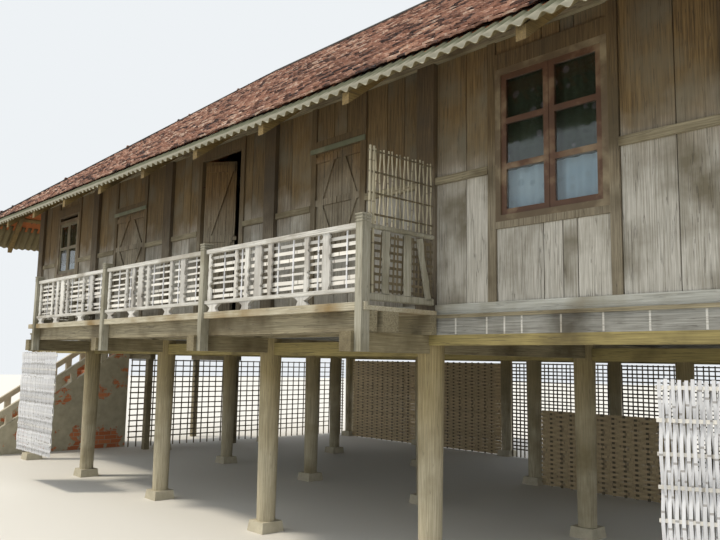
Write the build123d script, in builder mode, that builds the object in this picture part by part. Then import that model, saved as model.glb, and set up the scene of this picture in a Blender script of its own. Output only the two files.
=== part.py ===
from build123d import *
import os
from math import atan2, cos, degrees, hypot, radians, sin

# A timber stilt house: round posts on footings carry a framed floor, a walled room with a porch
# on three bays, and a hipped tile roof. A brick stair stands at the left end. Lengths are millimetres.
# X runs along the front wall, Y into the house, and the origin is the middle of the plan at ground level.
os.makedirs("parts", exist_ok=True)

# Plan
bay_width = 2100
bay_count = 4
window_bay_width = 2350
span = 2250
span_count = 3
joint_gap = 0.3

house_length = bay_count * bay_width + window_bay_width
house_depth = span_count * span
column_x = [-house_length / 2 + i * bay_width for i in range(bay_count + 1)] + [house_length / 2]
row_y = [-house_depth / 2 + j * span for j in range(span_count + 1)]
left_end, right_end = column_x[0], column_x[-1]
front, back = row_y[0], row_y[-1]
porch_lines = column_x[1:5]
grid = [(x, y) for y in row_y for x in column_x]
bays_x = list(zip(column_x[:-1], column_x[1:]))
bays_y = list(zip(row_y[:-1], row_y[1:]))
bay_middles = [(a + b) / 2 for a, b in bays_x]

# Ground posts and footings
footing_base = 250
footing_top = 225
footing_height = 100
post_foot_radius = 89
post_head_radius = 106

# Floor frame, from the cross beams up
cross_beam_bottom = 1690
cross_beam_height = 140
cross_beam_width = 120
beam_overhang = 150
tie_rail_height = 120
tie_rail_width = 70
tie_rail_drop = 25
log_height = 78
log_width = 90
girder_height = 125
girder_width = 185
girder_outer = 95
ledge_width = 44
ledge_height = 25
ledge_reach = 15
joist_height = 80
joist_width = 50
joist_spacing = 350
floor_board_thickness = 25

cross_beam_top = cross_beam_bottom + cross_beam_height
girder_top = cross_beam_top + girder_height
floor_top = girder_top + joist_height + floor_board_thickness
tie_bottom = cross_beam_bottom - tie_rail_drop

# Walls, given as distances outward from the line of the posts
wall_post_size = 180
board_inner = 22
board_outer = 50
sill_inner = 26
sill_outer = 60
jamb_inner = 14
jamb_outer = 62
jamb_width = 70
lintel_height = 120
window_sill_height = 50
batten_bottom = 3000
batten_height = 60
batten_thickness = 18
wall_plate_bottom = 3990
post_half = wall_post_size / 2

# Windows, shutters and doors: width, bottom and top of the opening
door_width = 790
door_top = 3860
door_middle = -35
big_window_width = 890
big_window_bottom = 2633
big_window_top = 3770
big_window_middle = 4135
small_window_width = 760
small_window_bottom = 2830
small_window_transom = 3650
wide_shutter_width = 780
narrow_shutter_width = 610
narrow_shutter_offset = -45
shutter_bottom = 2600
wide_shutter_top = 3500
narrow_shutter_top = 3540
frame_member = 45
frame_inner = 12
sash_member = 42
sash_inner = 22
sash_outer = 50
glass_thickness = 4
leaf_gap = 4
leaf_inner = 20
leaf_thickness = 24
brace_thickness = 16
brace_width = 60

# The door that opens, and its hinges
hinge_clearance = 14
door_gap = 8
pintle_radius = 5
barrel_radius = 9
barrel_height = 60
strap_length = 250
strap_thickness = 5
strap_height = 40
hinge_inset = 260
door_opening_angle = 35
fixed_leaf_angle = 95
door_ledge_height = 78
door_ledge_inset = 12
door_ledges = (2200, 2962, 3772)
latch_reach = 34
latch_height = 40

# Porch
porch_reach = 900
porch_beam_height = 148
edge_beam_thickness = 55
inner_beam_width = 160
inner_beam_reach = 680
ledger_width = 60
deck_thickness = 32
edge_board_thickness = 25
edge_board_height = 57
rail_post_width = 70
rail_post_depth = 80
rail_post_reach = 870
rail_post_top = 2660
cap_height = 12
cap_overhang = 7
rail_width = 45
top_rail_top = 2600
top_rail_height = 40
bottom_rail_top = 2137
bottom_rail_height = 31
baluster_thickness = 16
end_baluster_width = 50
weave_thickness = 8
weave_height = 26
weave_bottom = 2195
weave_rows = 6
weave_spacing = 57.6
stake_size = 14
screen_top = 3200
screen_rail_height = 24
screen_rail_spacing = 140
screen_stake_spacing = 68

# Roof
eave_front_reach = 1000
eave_end_reach = 1900
eave_height = 3570
ridge_height = 6930
ridge_setback = 3390
tile_depth = 50
roof_batten_depth = 20
roof_batten_width = 45
roof_batten_spacing = 320
tile_setback = 300
sheet_length = 450
rafter_depth = 90
rafter_width = 70
rafter_tail_setback = 60
window_bay_rafter = 4530
hip_rafter_width = 90
hip_rafter_depth = 125
purlin_height = 120
ridge_beam_width = 100
ridge_beam_height = 130
tie_beam_height = 125
tie_beam_width = 70
cap_reach = 120
cap_thickness = 24

roof_half_length = house_length / 2 + eave_end_reach
roof_half_depth = house_depth / 2 + eave_front_reach
ridge_half_length = roof_half_length - ridge_setback
roof_rise = ridge_height - eave_height
front_slope = roof_rise / roof_half_depth
end_slope = roof_rise / ridge_setback
hip_run = hypot(ridge_setback, roof_half_depth)
hip_slope = roof_rise / hip_run
rafter_top = tile_depth + roof_batten_depth
rafter_bottom = rafter_top + rafter_depth

# Stair and landing at the left end
stair_right = -6125
stair_width = 1050
stair_back = -1475
stair_side_thickness = 130
riser_count = 10
riser = 171.4
going = 259.7
curb_height = 140
stair_rail_rise = 170
stair_rail_height = 105
stair_rail_width = 80
stair_post_width = 90
landing_back = 600
landing_boards = 34
landing_bearer = 90
landing_post_size = 100
landing_inset = 120
door_step_depth = 300
door_step_width = 900

# Screens of bamboo under and beside the house
bar_width = 24
bar_thickness = 20
fence_top = 1640
fence_bar_spacing = 300
fence_rail_spacing = 100
end_fence_x = -6025
wattle_thickness = 26
half_wall_height = 1005
hanging_width = 1200
hanging_bottom = 400
hanging_strips = 14
strip_width = 50
strip_thickness = 8
panel_angle = 27.3
panel_width = 1000
panel_height = 1550
panel_strips = 12


def save(part, label):
    part.label = label
    export_step(part, f"parts/{label}.step")


def block(x, y, z, mode=Mode.ADD):
    """A straight timber or slab between two corners, given as ranges on X, Y and Z."""
    with Locations(((x[0] + x[1]) / 2, (y[0] + y[1]) / 2, (z[0] + z[1]) / 2)):
        Box(abs(x[1] - x[0]), abs(y[1] - y[0]), abs(z[1] - z[0]), mode=mode)


def around(centre, size):
    return (centre - size / 2, centre + size / 2)


def upwards(bottom, height):
    return (bottom, bottom + height)


def prism(plane, points, thickness):
    """A flat outline on a plane, given a thickness along the plane's own normal."""
    with BuildSketch(plane) as outline:
        with BuildLine():
            Polyline(*points, close=True)
        make_face()
    extrude(outline.sketch, amount=thickness)


def gathered(*parts):
    """Solids of several parts as one node."""
    return Compound([solid for part in parts for solid in part.solids()])


def both(part, plane):
    return gathered(part, part.mirror(plane))


# Footings and ground posts
footing_taper = degrees(atan2((footing_base - footing_top) / 2, footing_height))
with BuildPart() as footings:
    with BuildSketch():
        with Locations(*grid):
            Rectangle(footing_base, footing_base)
    extrude(amount=footing_height, taper=footing_taper)
save(footings.part, "post_footings")


def post_shapes(grow=0.0, mode=Mode.ADD):
    with Locations(*[(x, y, footing_height) for x, y in grid]):
        Cone(post_foot_radius + grow, post_head_radius + grow, cross_beam_top - footing_height,
             align=(Align.CENTER, Align.CENTER, Align.MIN), mode=mode)


# Tapered logs whose heads are forked to take the cross beams
with BuildPart() as ground_posts:
    post_shapes()
    for x in column_x:
        block(around(x, cross_beam_width + 2 * joint_gap), (front - span, back + span),
              (cross_beam_bottom, cross_beam_top + 1), mode=Mode.SUBTRACT)
save(ground_posts.part, "ground_posts")

# Cross beams run through the post heads. Four of them run out to carry the porch.
with BuildPart() as cross_beams:
    for x in column_x:
        beam_start = front - (porch_reach if x in porch_lines else beam_overhang)
        block(around(x, cross_beam_width), (beam_start, back + beam_overhang), (cross_beam_bottom, cross_beam_top))
save(cross_beams.part, "cross_beams")

# Tie rails stand between the posts, cut to their round sides. The last front bay has none: there
# a hewn log lies right under the girder, level with its face.
with BuildPart() as tie_rails:
    for y in row_y:
        block((left_end, column_x[-2] if y == front else right_end), around(y, tie_rail_width),
              upwards(tie_bottom, tie_rail_height))
    block((column_x[-2], right_end + beam_overhang), upwards(front - girder_outer, log_width),
          upwards(cross_beam_top, -log_height))
    post_shapes(grow=joint_gap, mode=Mode.SUBTRACT)
    for x in column_x:
        block(around(x, cross_beam_width + 2 * joint_gap), (front - span, back + span),
              (tie_bottom - 1, cross_beam_top), mode=Mode.SUBTRACT)
save(tie_rails.part, "tie_rails")

# Floor girders lie on the cross beams, over the rows of posts
girder_ends = (left_end - beam_overhang, right_end + beam_overhang)
with BuildPart() as girders:
    block(girder_ends, upwards(front - girder_outer, girder_width), (cross_beam_top, girder_top))
    for y in row_y[1:-1]:
        block(girder_ends, around(y, girder_width), (cross_beam_top, girder_top))
    block(girder_ends, upwards(back + girder_outer, -girder_width), (cross_beam_top, girder_top))
save(girders.part, "floor_girders")

# Ledge boards along the outer edges of the front and back girders, notched round the wall posts
with BuildPart() as ledges:
    for side, y in ((-1, front), (1, back)):
        outer = y + side * (girder_outer + ledge_reach)
        block(girder_ends, (outer, outer - side * ledge_width), upwards(girder_top, ledge_height))
    post_hole = wall_post_size + 2 * joint_gap
    for x, y in grid:
        block(around(x, post_hole), around(y, post_hole), upwards(girder_top - 1, ledge_height + 2), mode=Mode.SUBTRACT)
save(ledges.part, "ledge_boards")

# Joists from the front girder to the back one, spaced within each bay so that they miss the posts
joist_ends = (front - sill_inner + joint_gap, back + sill_inner - joint_gap)
with BuildPart() as joists:
    for x0, x1 in bays_x:
        count = round((x1 - x0) / joist_spacing)
        step = (x1 - x0) / count
        for k in range(count):
            block(around(x0 + (k + 0.5) * step, joist_width), joist_ends, upwards(girder_top, joist_height))
save(joists.part, "floor_joists")

# Floor boards, cut round the wall posts
with BuildPart() as floor:
    with BuildSketch(Plane.XY.offset(floor_top - floor_board_thickness)):
        Rectangle(house_length + 2 * board_inner, joist_ends[1] - joist_ends[0])
        with Locations(*grid):
            Rectangle(wall_post_size + 2 * joint_gap, wall_post_size + 2 * joint_gap, mode=Mode.SUBTRACT)
    extrude(amount=floor_board_thickness)
save(floor.part, "floor_boards")


# Roof surfaces: strips that follow a slope, given by plan distances from the eave and by depths below it
def slope_profile(eave_line, slope, run, depth):
    lower, upper = eave_height + run[0] * slope, eave_height + run[1] * slope
    return [(eave_line + run[0], lower - depth[0]), (eave_line + run[1], upper - depth[0]),
            (eave_line + run[1], upper - depth[1]), (eave_line + run[0], lower - depth[1])]


def front_strip(x, run, depth):
    """A piece of the front slope between two X values."""
    prism(Plane.YZ.offset(x[0]), slope_profile(-roof_half_depth, front_slope, run, depth), x[1] - x[0])


def left_strip(y, run, depth):
    """A piece of the left end slope between two Y values."""
    prism(Plane.XZ.offset(-y[1]), slope_profile(-roof_half_length, end_slope, run, depth), y[1] - y[0])


def hip_strip(side, width, depth, ends, mode=Mode.ADD):
    """An upright bar under a front hip line (side -1 left, 1 right), between two distances from the corner."""
    along = Vector(-side * ridge_setback, roof_half_depth, 0).normalized()
    across = along.cross(Vector(0, 0, 1))
    corner = Vector(side * roof_half_length, -roof_half_depth, 0)
    with BuildSketch(Plane(origin=corner, x_dir=along, z_dir=across)) as profile:
        with BuildLine():
            Polyline(*slope_profile(0, hip_slope, ends, depth), close=True)
        make_face()
    extrude(profile.sketch, amount=width / 2, both=True, mode=mode)


def hip_plane(side, towards_front, clearance=0.0):
    """The upright plane over a front hip, facing the front slope or the end slope."""
    sign = 1 if towards_front else -1
    normal = Vector(-side * roof_half_depth / hip_run, -ridge_setback / hip_run, 0) * sign
    corner = Vector(side * roof_half_length, -roof_half_depth, 0) + normal * clearance
    return Plane(origin=corner, x_dir=(0, 0, 1), z_dir=normal)


def trim_front(clearance=joint_gap):
    for side in (-1, 1):
        split(bisect_by=hip_plane(side, True, clearance), keep=Keep.TOP)


def trim_left(clearance=joint_gap):
    near = hip_plane(-1, False, clearance)
    split(bisect_by=near, keep=Keep.TOP)
    split(bisect_by=Plane(origin=(near.origin.X, -near.origin.Y, 0), x_dir=(0, 0, 1),
                          z_dir=(near.z_dir.X, -near.z_dir.Y, 0)), keep=Keep.TOP)


def front_half(clearance=0.0):
    """Keep what lies in front of the middle of the house."""
    split(bisect_by=Plane(origin=(0, -clearance, 0), x_dir=(1, 0, 0), z_dir=(0, -1, 0)), keep=Keep.TOP)


def four_slopes(front_part, left_part):
    return gathered(both(front_part, Plane.XZ), both(left_part, Plane.YZ))


full_length = (-roof_half_length, roof_half_length)
full_depth = (-roof_half_depth, roof_half_depth)
front_top_run = roof_half_depth - joint_gap
end_top_run = ridge_setback - joint_gap

# Tiles
with BuildPart() as front_tiles:
    front_strip(full_length, (tile_setback, front_top_run), (0, tile_depth))
    trim_front()
with BuildPart() as left_tiles:
    left_strip(full_depth, (tile_setback, end_top_run), (0, tile_depth))
    trim_left()
save(four_slopes(front_tiles.part, left_tiles.part), "roof_tiles")

# Corrugated sheets under the first tiles, down to the eave
sheet_depths = (tile_depth + joint_gap, rafter_top)
with BuildPart() as front_sheet:
    front_strip(full_length, (0, sheet_length), sheet_depths)
    trim_front()
with BuildPart() as left_sheet:
    left_strip(full_depth, (0, sheet_length), sheet_depths)
    trim_left()
save(four_slopes(front_sheet.part, left_sheet.part), "eave_sheets")


# Battens under the tiles
def batten_runs(total_run):
    first = sheet_length + roof_batten_width
    count = int((total_run - first) // roof_batten_spacing)
    return [upwards(first + k * roof_batten_spacing, roof_batten_width) for k in range(count)]


with BuildPart() as front_battens:
    for run in batten_runs(roof_half_depth):
        front_strip(full_length, run, (tile_depth, rafter_top))
    trim_front()
with BuildPart() as left_battens:
    for run in batten_runs(ridge_setback):
        left_strip(full_depth, run, (tile_depth, rafter_top))
    trim_left()
save(four_slopes(front_battens.part, left_battens.part), "roof_battens")

# Rafters at the columns and near the middle of each bay
rafter_x = sorted(column_x + bay_middles[:-1] + [window_bay_rafter])
rafter_y = sorted(row_y + [(a + b) / 2 for a, b in bays_y])
rafter_clearance = hip_rafter_width / 2 + joint_gap
with BuildPart() as front_rafters:
    for x in rafter_x:
        front_strip(around(x, rafter_width), (rafter_tail_setback, front_top_run), (rafter_top, rafter_bottom))
    trim_front(rafter_clearance)
with BuildPart() as left_rafters:
    for y in rafter_y:
        left_strip(around(y, rafter_width), (rafter_tail_setback, end_top_run), (rafter_top, rafter_bottom))
    trim_left(rafter_clearance)
save(four_slopes(front_rafters.part, left_rafters.part), "rafters")

# Hip rafters, low enough for their upper edges to clear the two slopes
hip_top = rafter_top + joint_gap + hip_rafter_width / 2 * end_slope * roof_half_depth / hip_run
with BuildPart() as hip_rafters:
    for side in (-1, 1):
        hip_strip(side, hip_rafter_width, (hip_top, hip_top + hip_rafter_depth), (rafter_tail_setback, hip_run))
    front_half(joint_gap)
save(both(hip_rafters.part, Plane.XZ), "hip_rafters")

# Ridge and hip caps lie on the tiles
cap_depths = (-cap_thickness, -joint_gap)
cap_edge = ridge_height - cap_reach * front_slope
cap_stop = cap_reach + joint_gap
with BuildPart() as ridge_cap:
    prism(Plane.YZ.offset(-ridge_half_length),
          [(-cap_reach, cap_edge + joint_gap), (0, ridge_height + joint_gap), (cap_reach, cap_edge + joint_gap),
           (cap_reach, cap_edge + cap_thickness), (0, ridge_height + cap_thickness),
           (-cap_reach, cap_edge + cap_thickness)], 2 * ridge_half_length)
with BuildPart() as front_hip_cap:
    front_strip((-roof_half_length, -ridge_half_length), (tile_setback, roof_half_depth), cap_depths)
    split(bisect_by=hip_plane(-1, True, joint_gap), keep=Keep.TOP)
    split(bisect_by=hip_plane(-1, True, cap_reach), keep=Keep.BOTTOM)
    front_half(cap_stop)
with BuildPart() as end_hip_cap:
    left_strip((-roof_half_depth, 0), (tile_setback, ridge_setback), cap_depths)
    split(bisect_by=hip_plane(-1, False, joint_gap), keep=Keep.TOP)
    split(bisect_by=hip_plane(-1, False, cap_reach), keep=Keep.BOTTOM)
    front_half(cap_stop)
front_caps = both(gathered(front_hip_cap.part, end_hip_cap.part), Plane.YZ)
save(gathered(ridge_cap.part, both(front_caps, Plane.XZ)), "roof_caps")


# Wall plates under the rafters, and purlins further up
def seat_height(run, slope):
    """Height of the rafters' undersides at a distance from the eave, less a joint gap."""
    return eave_height + run * slope - rafter_bottom - joint_gap


front_plate_top = seat_height(eave_front_reach - post_half, front_slope)
end_plate_top = seat_height(eave_end_reach - post_half, end_slope)
end_plate_bottom = end_plate_top - purlin_height
plate_overhang = wall_post_size
end_plate_half_length = row_y[2] + span / 4
with BuildPart() as wall_plates:
    for y in (front, back):
        block((left_end - plate_overhang, right_end + plate_overhang), around(y, wall_post_size),
              (wall_plate_bottom, front_plate_top))
    for x in (left_end, right_end):
        block(around(x, wall_post_size), (-end_plate_half_length, end_plate_half_length),
              (end_plate_bottom, end_plate_top))
save(wall_plates.part, "wall_plates")

purlin_top = seat_height(roof_half_depth - row_y[2] - post_half, front_slope)
purlin_bottom = purlin_top - purlin_height
purlin_half_length = roof_half_length - (purlin_top + rafter_bottom + joint_gap - eave_height) / end_slope
purlin_inner = (row_y[1] + post_half, row_y[2] - post_half)
with BuildPart() as purlins:
    for y in row_y[1:3]:
        block((-purlin_half_length, purlin_half_length), around(y, wall_post_size), (purlin_bottom, purlin_top))
    for side in (-1, 1):
        block((side * (purlin_half_length - wall_post_size), side * purlin_half_length), purlin_inner,
              (purlin_bottom, purlin_top))
    for x in porch_lines:
        block(around(x, tie_beam_width), purlin_inner, (purlin_bottom, purlin_top))
    for side in (-1, 1):
        hip_strip(side, hip_rafter_width + 2 * joint_gap, (0, hip_top + hip_rafter_depth + joint_gap),
                  (0, hip_run), mode=Mode.SUBTRACT)
    front_half()
    mirror(about=Plane.XZ)
save(purlins.part, "purlin_frame")

ridge_beam_top = seat_height(roof_half_depth - ridge_beam_width / 2, front_slope)
ridge_beam_half_length = ridge_half_length - hip_rafter_width
with BuildPart() as ridge_frame:
    block((-ridge_beam_half_length, ridge_beam_half_length), around(0, ridge_beam_width),
          upwards(ridge_beam_top, -ridge_beam_height))
    for x in porch_lines:
        block(around(x, tie_beam_width), around(0, tie_beam_width), (purlin_top, ridge_beam_top - ridge_beam_height))
save(ridge_frame.part, "ridge_frame")

# Wall posts stand on the girders. The inner ones reach the purlins, and four at the ends the end plates.
with BuildPart() as wall_posts:
    for x, y in grid:
        top = wall_plate_bottom
        if y in row_y[1:3]:
            top = purlin_bottom if x in porch_lines else end_plate_bottom
        block(around(x, wall_post_size), around(y, wall_post_size), (girder_top, top))
save(wall_posts.part, "wall_posts")

# Tie beams between the wall posts, just under the plates
with BuildPart() as tie_beams:
    for x in porch_lines:
        for y0, y1 in bays_y:
            block(around(x, tie_beam_width), (y0 + post_half + joint_gap, y1 - post_half - joint_gap),
                  upwards(wall_plate_bottom, -tie_beam_height))
save(tie_beams.part, "tie_beams")


# Walls: a range along the wall, a range outward from the post line and a range in height
def wall_block(wall, along, out, z, mode=Mode.ADD):
    if wall == "front":
        block(along, (front - out[0], front - out[1]), z, mode)
    elif wall == "back":
        block(along, (back + out[0], back + out[1]), z, mode)
    elif wall == "left":
        block((left_end - out[0], left_end - out[1]), along, z, mode)
    else:
        block((right_end + out[0], right_end + out[1]), along, z, mode)


wide_shutter = (wide_shutter_width, shutter_bottom, wide_shutter_top)
narrow_shutter = (narrow_shutter_width, shutter_bottom, narrow_shutter_top)
narrow_shutter_middle = bay_middles[3] + narrow_shutter_offset
big_window = (big_window_width, big_window_bottom, big_window_top)
small_window = (small_window_width, small_window_bottom, big_window_top)
doorway = (door_width, floor_top, door_top)
openings = {
    "front": [(bay_middles[0], *small_window), (bay_middles[1], *wide_shutter), (door_middle, *doorway),
              (narrow_shutter_middle, *narrow_shutter), (big_window_middle, *big_window)],
    "back": [(bay_middles[0], *wide_shutter), None, (bay_middles[2], *wide_shutter), None,
             (bay_middles[4], *wide_shutter)],
    "left": [None, (0, *doorway), None],
    "right": [None, (0, *big_window), None],
}
wall_bays = {"front": bays_x, "back": bays_x, "left": bays_y, "right": bays_y}
wall_tops = {"front": wall_plate_bottom, "back": wall_plate_bottom,
             "left": end_plate_bottom, "right": end_plate_bottom}
boards = (board_inner, board_outer)
jambs = (jamb_inner, jamb_outer)


def bay_range(bay):
    return (bay[0] + post_half + joint_gap, bay[1] - post_half - joint_gap)


def jamb_lines(opening):
    """The outer edges of the two jambs beside an opening."""
    return (opening[0] - opening[1] / 2 - jamb_width, opening[0] + opening[1] / 2 + jamb_width)


def between_jambs(opening):
    return (opening[0] - opening[1] / 2 + joint_gap, opening[0] + opening[1] / 2 - joint_gap)


def is_doorway(opening):
    return opening[2] <= floor_top


def bay_boards(wall, bay, opening):
    """Boards of one bay, split into pieces beside, over and under its opening."""
    u0, u1 = bay_range(bay)
    top = wall_tops[wall]
    if opening is None:
        wall_block(wall, (u0, u1), boards, (floor_top, top))
        return
    j0, j1 = jamb_lines(opening)
    wall_block(wall, (u0, j0 - joint_gap), boards, (floor_top, top))
    wall_block(wall, (j1 + joint_gap, u1), boards, (floor_top, top))
    wall_block(wall, between_jambs(opening), boards, (opening[3] + lintel_height, top))
    if not is_doorway(opening):
        wall_block(wall, between_jambs(opening), boards, (floor_top, opening[2] - window_sill_height))


for wall in ("front", "back"):
    with BuildPart() as wall_boards:
        for bay, opening in zip(wall_bays[wall], openings[wall]):
            bay_boards(wall, bay, opening)
    save(wall_boards.part, f"{wall}_wall_boards")

# End walls rise to the rafters, so their outer bays have sloping tops
gable_outer = house_depth / 2 - post_half - joint_gap
gable_inner = row_y[2] + post_half + joint_gap
gable_edge = seat_height(roof_half_depth - gable_outer, front_slope)
gable_flat = roof_half_depth - (end_plate_bottom + rafter_bottom + joint_gap - eave_height) / front_slope
with BuildPart() as end_boards:
    for wall, side in (("left", -1), ("right", 1)):
        bay_boards(wall, bays_y[1], openings[wall][1])
        face = side * (house_length / 2 + board_inner)
        for flip in (-1, 1):
            prism(Plane.YZ.offset(face),
                  [(flip * gable_outer, floor_top), (flip * gable_inner, floor_top),
                   (flip * gable_inner, end_plate_bottom), (flip * gable_flat, end_plate_bottom),
                   (flip * gable_outer, gable_edge)], side * (board_outer - board_inner))
save(end_boards.part, "end_wall_boards")

# Jambs, lintels and window sills
with BuildPart() as jamb_frames:
    for wall, wall_openings in openings.items():
        for opening in wall_openings:
            if opening is None:
                continue
            j0, j1 = jamb_lines(opening)
            wall_block(wall, upwards(j0, jamb_width), jambs, (floor_top, wall_tops[wall]))
            wall_block(wall, upwards(j1, -jamb_width), jambs, (floor_top, wall_tops[wall]))
            wall_block(wall, between_jambs(opening), jambs, upwards(opening[3], lintel_height))
            if not is_doorway(opening):
                wall_block(wall, between_jambs(opening), jambs, upwards(opening[2], -window_sill_height))
save(jamb_frames.part, "jambs_and_lintels")

# Sill boards between the wall posts, under the wall boards
with BuildPart() as sills:
    for wall, bays in wall_bays.items():
        for bay in bays:
            wall_block(wall, bay_range(bay), (sill_inner, sill_outer), (girder_top, floor_top))
save(sills.part, "sill_boards")

# Horizontal battens over the boards, beside the openings
with BuildPart() as battens:
    batten_out = upwards(board_outer, batten_thickness)
    for wall, bays in wall_bays.items():
        for bay, opening in zip(bays, openings[wall]):
            u0, u1 = bay_range(bay)
            pieces = [(u0, u1)]
            if opening is not None:
                j0, j1 = jamb_lines(opening)
                pieces = [(u0, j0 - joint_gap), (j1 + joint_gap, u1)]
            for piece in pieces:
                wall_block(wall, piece, batten_out, upwards(batten_bottom, batten_height))
save(battens.part, "wall_battens")

# Windows: wall, opening, panes in each casement, and the bottom of a transom bar with a gap above
windows = [("front", openings["front"][0], 2, small_window_transom),
           ("front", openings["front"][4], 3, None),
           ("right", openings["right"][1], 3, None)]
frame_depth = (frame_inner, jamb_outer)
sash_depth = (sash_inner, sash_outer)
pane_depth = around((sash_inner + sash_outer) / 2, glass_thickness)


def casements(opening, transom):
    """The ranges along and up the wall of the two casements in a frame."""
    middle, width, bottom, top = opening
    reach = width / 2 - frame_member - 2 * joint_gap
    z = (bottom + frame_member + 2 * joint_gap, (transom or top - frame_member) - 2 * joint_gap)
    return [((middle - reach, middle - leaf_gap / 2), z), ((middle + leaf_gap / 2, middle + reach), z)]


def panes(u, z, count, grow=0.0):
    height = (z[1] - z[0] - (count + 1) * sash_member) / count
    for k in range(count):
        bottom = z[0] + sash_member + k * (height + sash_member)
        yield ((u[0] + sash_member - grow, u[1] - sash_member + grow), (bottom - grow, bottom + height + grow))


with BuildPart() as window_frames:
    for wall, opening, count, transom in windows:
        u0, u1 = between_jambs(opening)
        z0, z1 = opening[2] + joint_gap, opening[3] - joint_gap
        hole = (u0 + frame_member, u1 - frame_member)
        wall_block(wall, (u0, u1), frame_depth, (z0, z1))
        wall_block(wall, hole, frame_depth, (z0 + frame_member, transom or z1 - frame_member), Mode.SUBTRACT)
        if transom:
            wall_block(wall, hole, frame_depth, (transom + frame_member, z1 - frame_member / 2), Mode.SUBTRACT)
save(window_frames.part, "window_frames")
with BuildPart() as sashes:
    for wall, opening, count, transom in windows:
        for u, z in casements(opening, transom):
            wall_block(wall, u, sash_depth, z)
            for pane_u, pane_z in panes(u, z, count):
                wall_block(wall, pane_u, sash_depth, pane_z, Mode.SUBTRACT)
save(sashes.part, "window_sashes")
with BuildPart() as glass:
    for wall, opening, count, transom in windows:
        for u, z in casements(opening, transom):
            for pane_u, pane_z in panes(u, z, count, grow=-joint_gap):
                wall_block(wall, pane_u, pane_depth, pane_z)
save(glass.part, "window_glass")


# Plank leaves with rails and braces on the outer face, which looks along -Y
def brace(start, end, y):
    """A flat brace between two points of a leaf, given in the leaf's own X and Z."""
    length = hypot(end[0] - start[0], end[1] - start[1])
    tilt = degrees(atan2(end[1] - start[1], end[0] - start[0]))
    with Locations(Location(((start[0] + end[0]) / 2, (y[0] + y[1]) / 2, (start[1] + end[1]) / 2), (0, -tilt, 0))):
        Box(length, abs(y[1] - y[0]), brace_width)


leaf_y = (-leaf_inner, -leaf_inner - leaf_thickness)
brace_y = (leaf_y[1], leaf_y[1] - brace_thickness)


def shutter_pair(width, bottom, top):
    """A closed pair of leaves with two braces each, for a wall whose post line is at Y = 0."""
    z0, z1 = bottom + joint_gap, top - joint_gap
    middle_z = (z0 + z1) / 2
    with BuildPart() as pair:
        for side in (-1, 1):
            near, far = side * leaf_gap / 2, side * (width / 2 - joint_gap)
            block((near, far), leaf_y, (z0, z1))
            for z in (z0 + brace_width, middle_z, z1 - brace_width):
                block((near + side * leaf_gap, far - side * leaf_gap), brace_y, around(z, brace_width))
            for z in (z0 + brace_width, z1 - brace_width):
                brace((far - side * brace_width, middle_z), (near + side * brace_width, z), brace_y)
    return pair.part


with BuildPart() as shutters:
    wide_pair, narrow_pair = shutter_pair(*wide_shutter), shutter_pair(*narrow_shutter)
    for x, pair in ((bay_middles[1], wide_pair), (narrow_shutter_middle, narrow_pair)):
        with Locations((x, front, 0)):
            add(pair)
    for x in (bay_middles[0], bay_middles[2], bay_middles[4]):
        with Locations(Location((x, back, 0), (0, 0, 180))):
            add(wide_pair)
save(shutters.part, "shutters")


def plank_door(plane, x, z):
    """A ledged leaf with braces. Its inner face lies a barrel's radius in front of the plane's own X axis."""
    planks = (-barrel_radius, -barrel_radius - leaf_thickness)
    outer = (planks[1], planks[1] - brace_thickness)
    with BuildPart(plane) as leaf:
        block(x, planks, z)
        for height in door_ledges:
            block((x[0] + door_ledge_inset, x[1] - door_ledge_inset), outer, around(height, door_ledge_height))
        for low, high in zip(door_ledges[:-1], door_ledges[1:]):
            brace((x[0] + brace_width, low + door_ledge_height / 4),
                  (x[1] - brace_width, high - door_ledge_height / 4), outer)
    return leaf.part


# The doorway has a pair of leaves. The left one stands ajar on two pintles fixed to the jamb,
# and the right one is its mirror image, folded back into the room.
door_left = door_middle - door_width / 2
hinge_axis = (door_left + hinge_clearance, front - leaf_inner + barrel_radius)
strap_start = barrel_radius / 2 + 1
door_x = (strap_start, door_width / 2 - hinge_clearance - door_gap / 2)
hinge_levels = (floor_top + hinge_inset, door_top - hinge_inset)
doorway_middle = Plane.YZ.offset(door_middle)


def hung_leaf(opening_angle):
    """The left leaf at an angle to the wall, and the straps that it hangs on."""
    angle = radians(opening_angle)
    plane = Plane(origin=(hinge_axis[0], hinge_axis[1], 0), x_dir=(cos(angle), sin(angle), 0), z_dir=(0, 0, 1))
    with BuildPart(plane) as straps:
        for z in hinge_levels:
            with Locations((0, 0, z)):
                Cylinder(barrel_radius, barrel_height)
            block((strap_start, strap_length), (-barrel_radius, -barrel_radius + strap_thickness),
                  around(z, strap_height))
            with Locations((0, 0, z)):
                Cylinder(pintle_radius + joint_gap, barrel_height + 1, mode=Mode.SUBTRACT)
    return plank_door(plane, door_x, (floor_top + door_gap, door_top - door_gap)), straps.part, plane


door_leaf, door_straps, door_plane = hung_leaf(door_opening_angle)
latch_face = -barrel_radius - leaf_thickness - brace_thickness
with BuildPart(door_plane) as latch:
    block((door_x[1] - latch_reach, door_x[1] + latch_reach), (latch_face, latch_face - brace_thickness),
          around(door_ledges[1], latch_height))
with BuildPart() as latched_leaf:
    add(door_leaf)
    add(latch.part)
save(latched_leaf.part, "door_leaf")
save(door_straps, "door_straps")

with BuildPart() as pintles:
    for z in hinge_levels:
        arm = upwards(z - barrel_height / 2 - joint_gap, -barrel_radius)
        with Locations((hinge_axis[0], hinge_axis[1], z)):
            Cylinder(pintle_radius, barrel_height + 2 * barrel_radius)
        block((door_left + joint_gap, hinge_axis[0]), (front - jamb_inner - barrel_height / 2, front - jamb_inner), arm)
        block((hinge_axis[0] - pintle_radius, hinge_axis[0]), (front - jamb_inner - barrel_height / 2, hinge_axis[1]),
              arm)
    mirror(about=doorway_middle)
save(pintles.part, "door_pintles")

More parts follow.
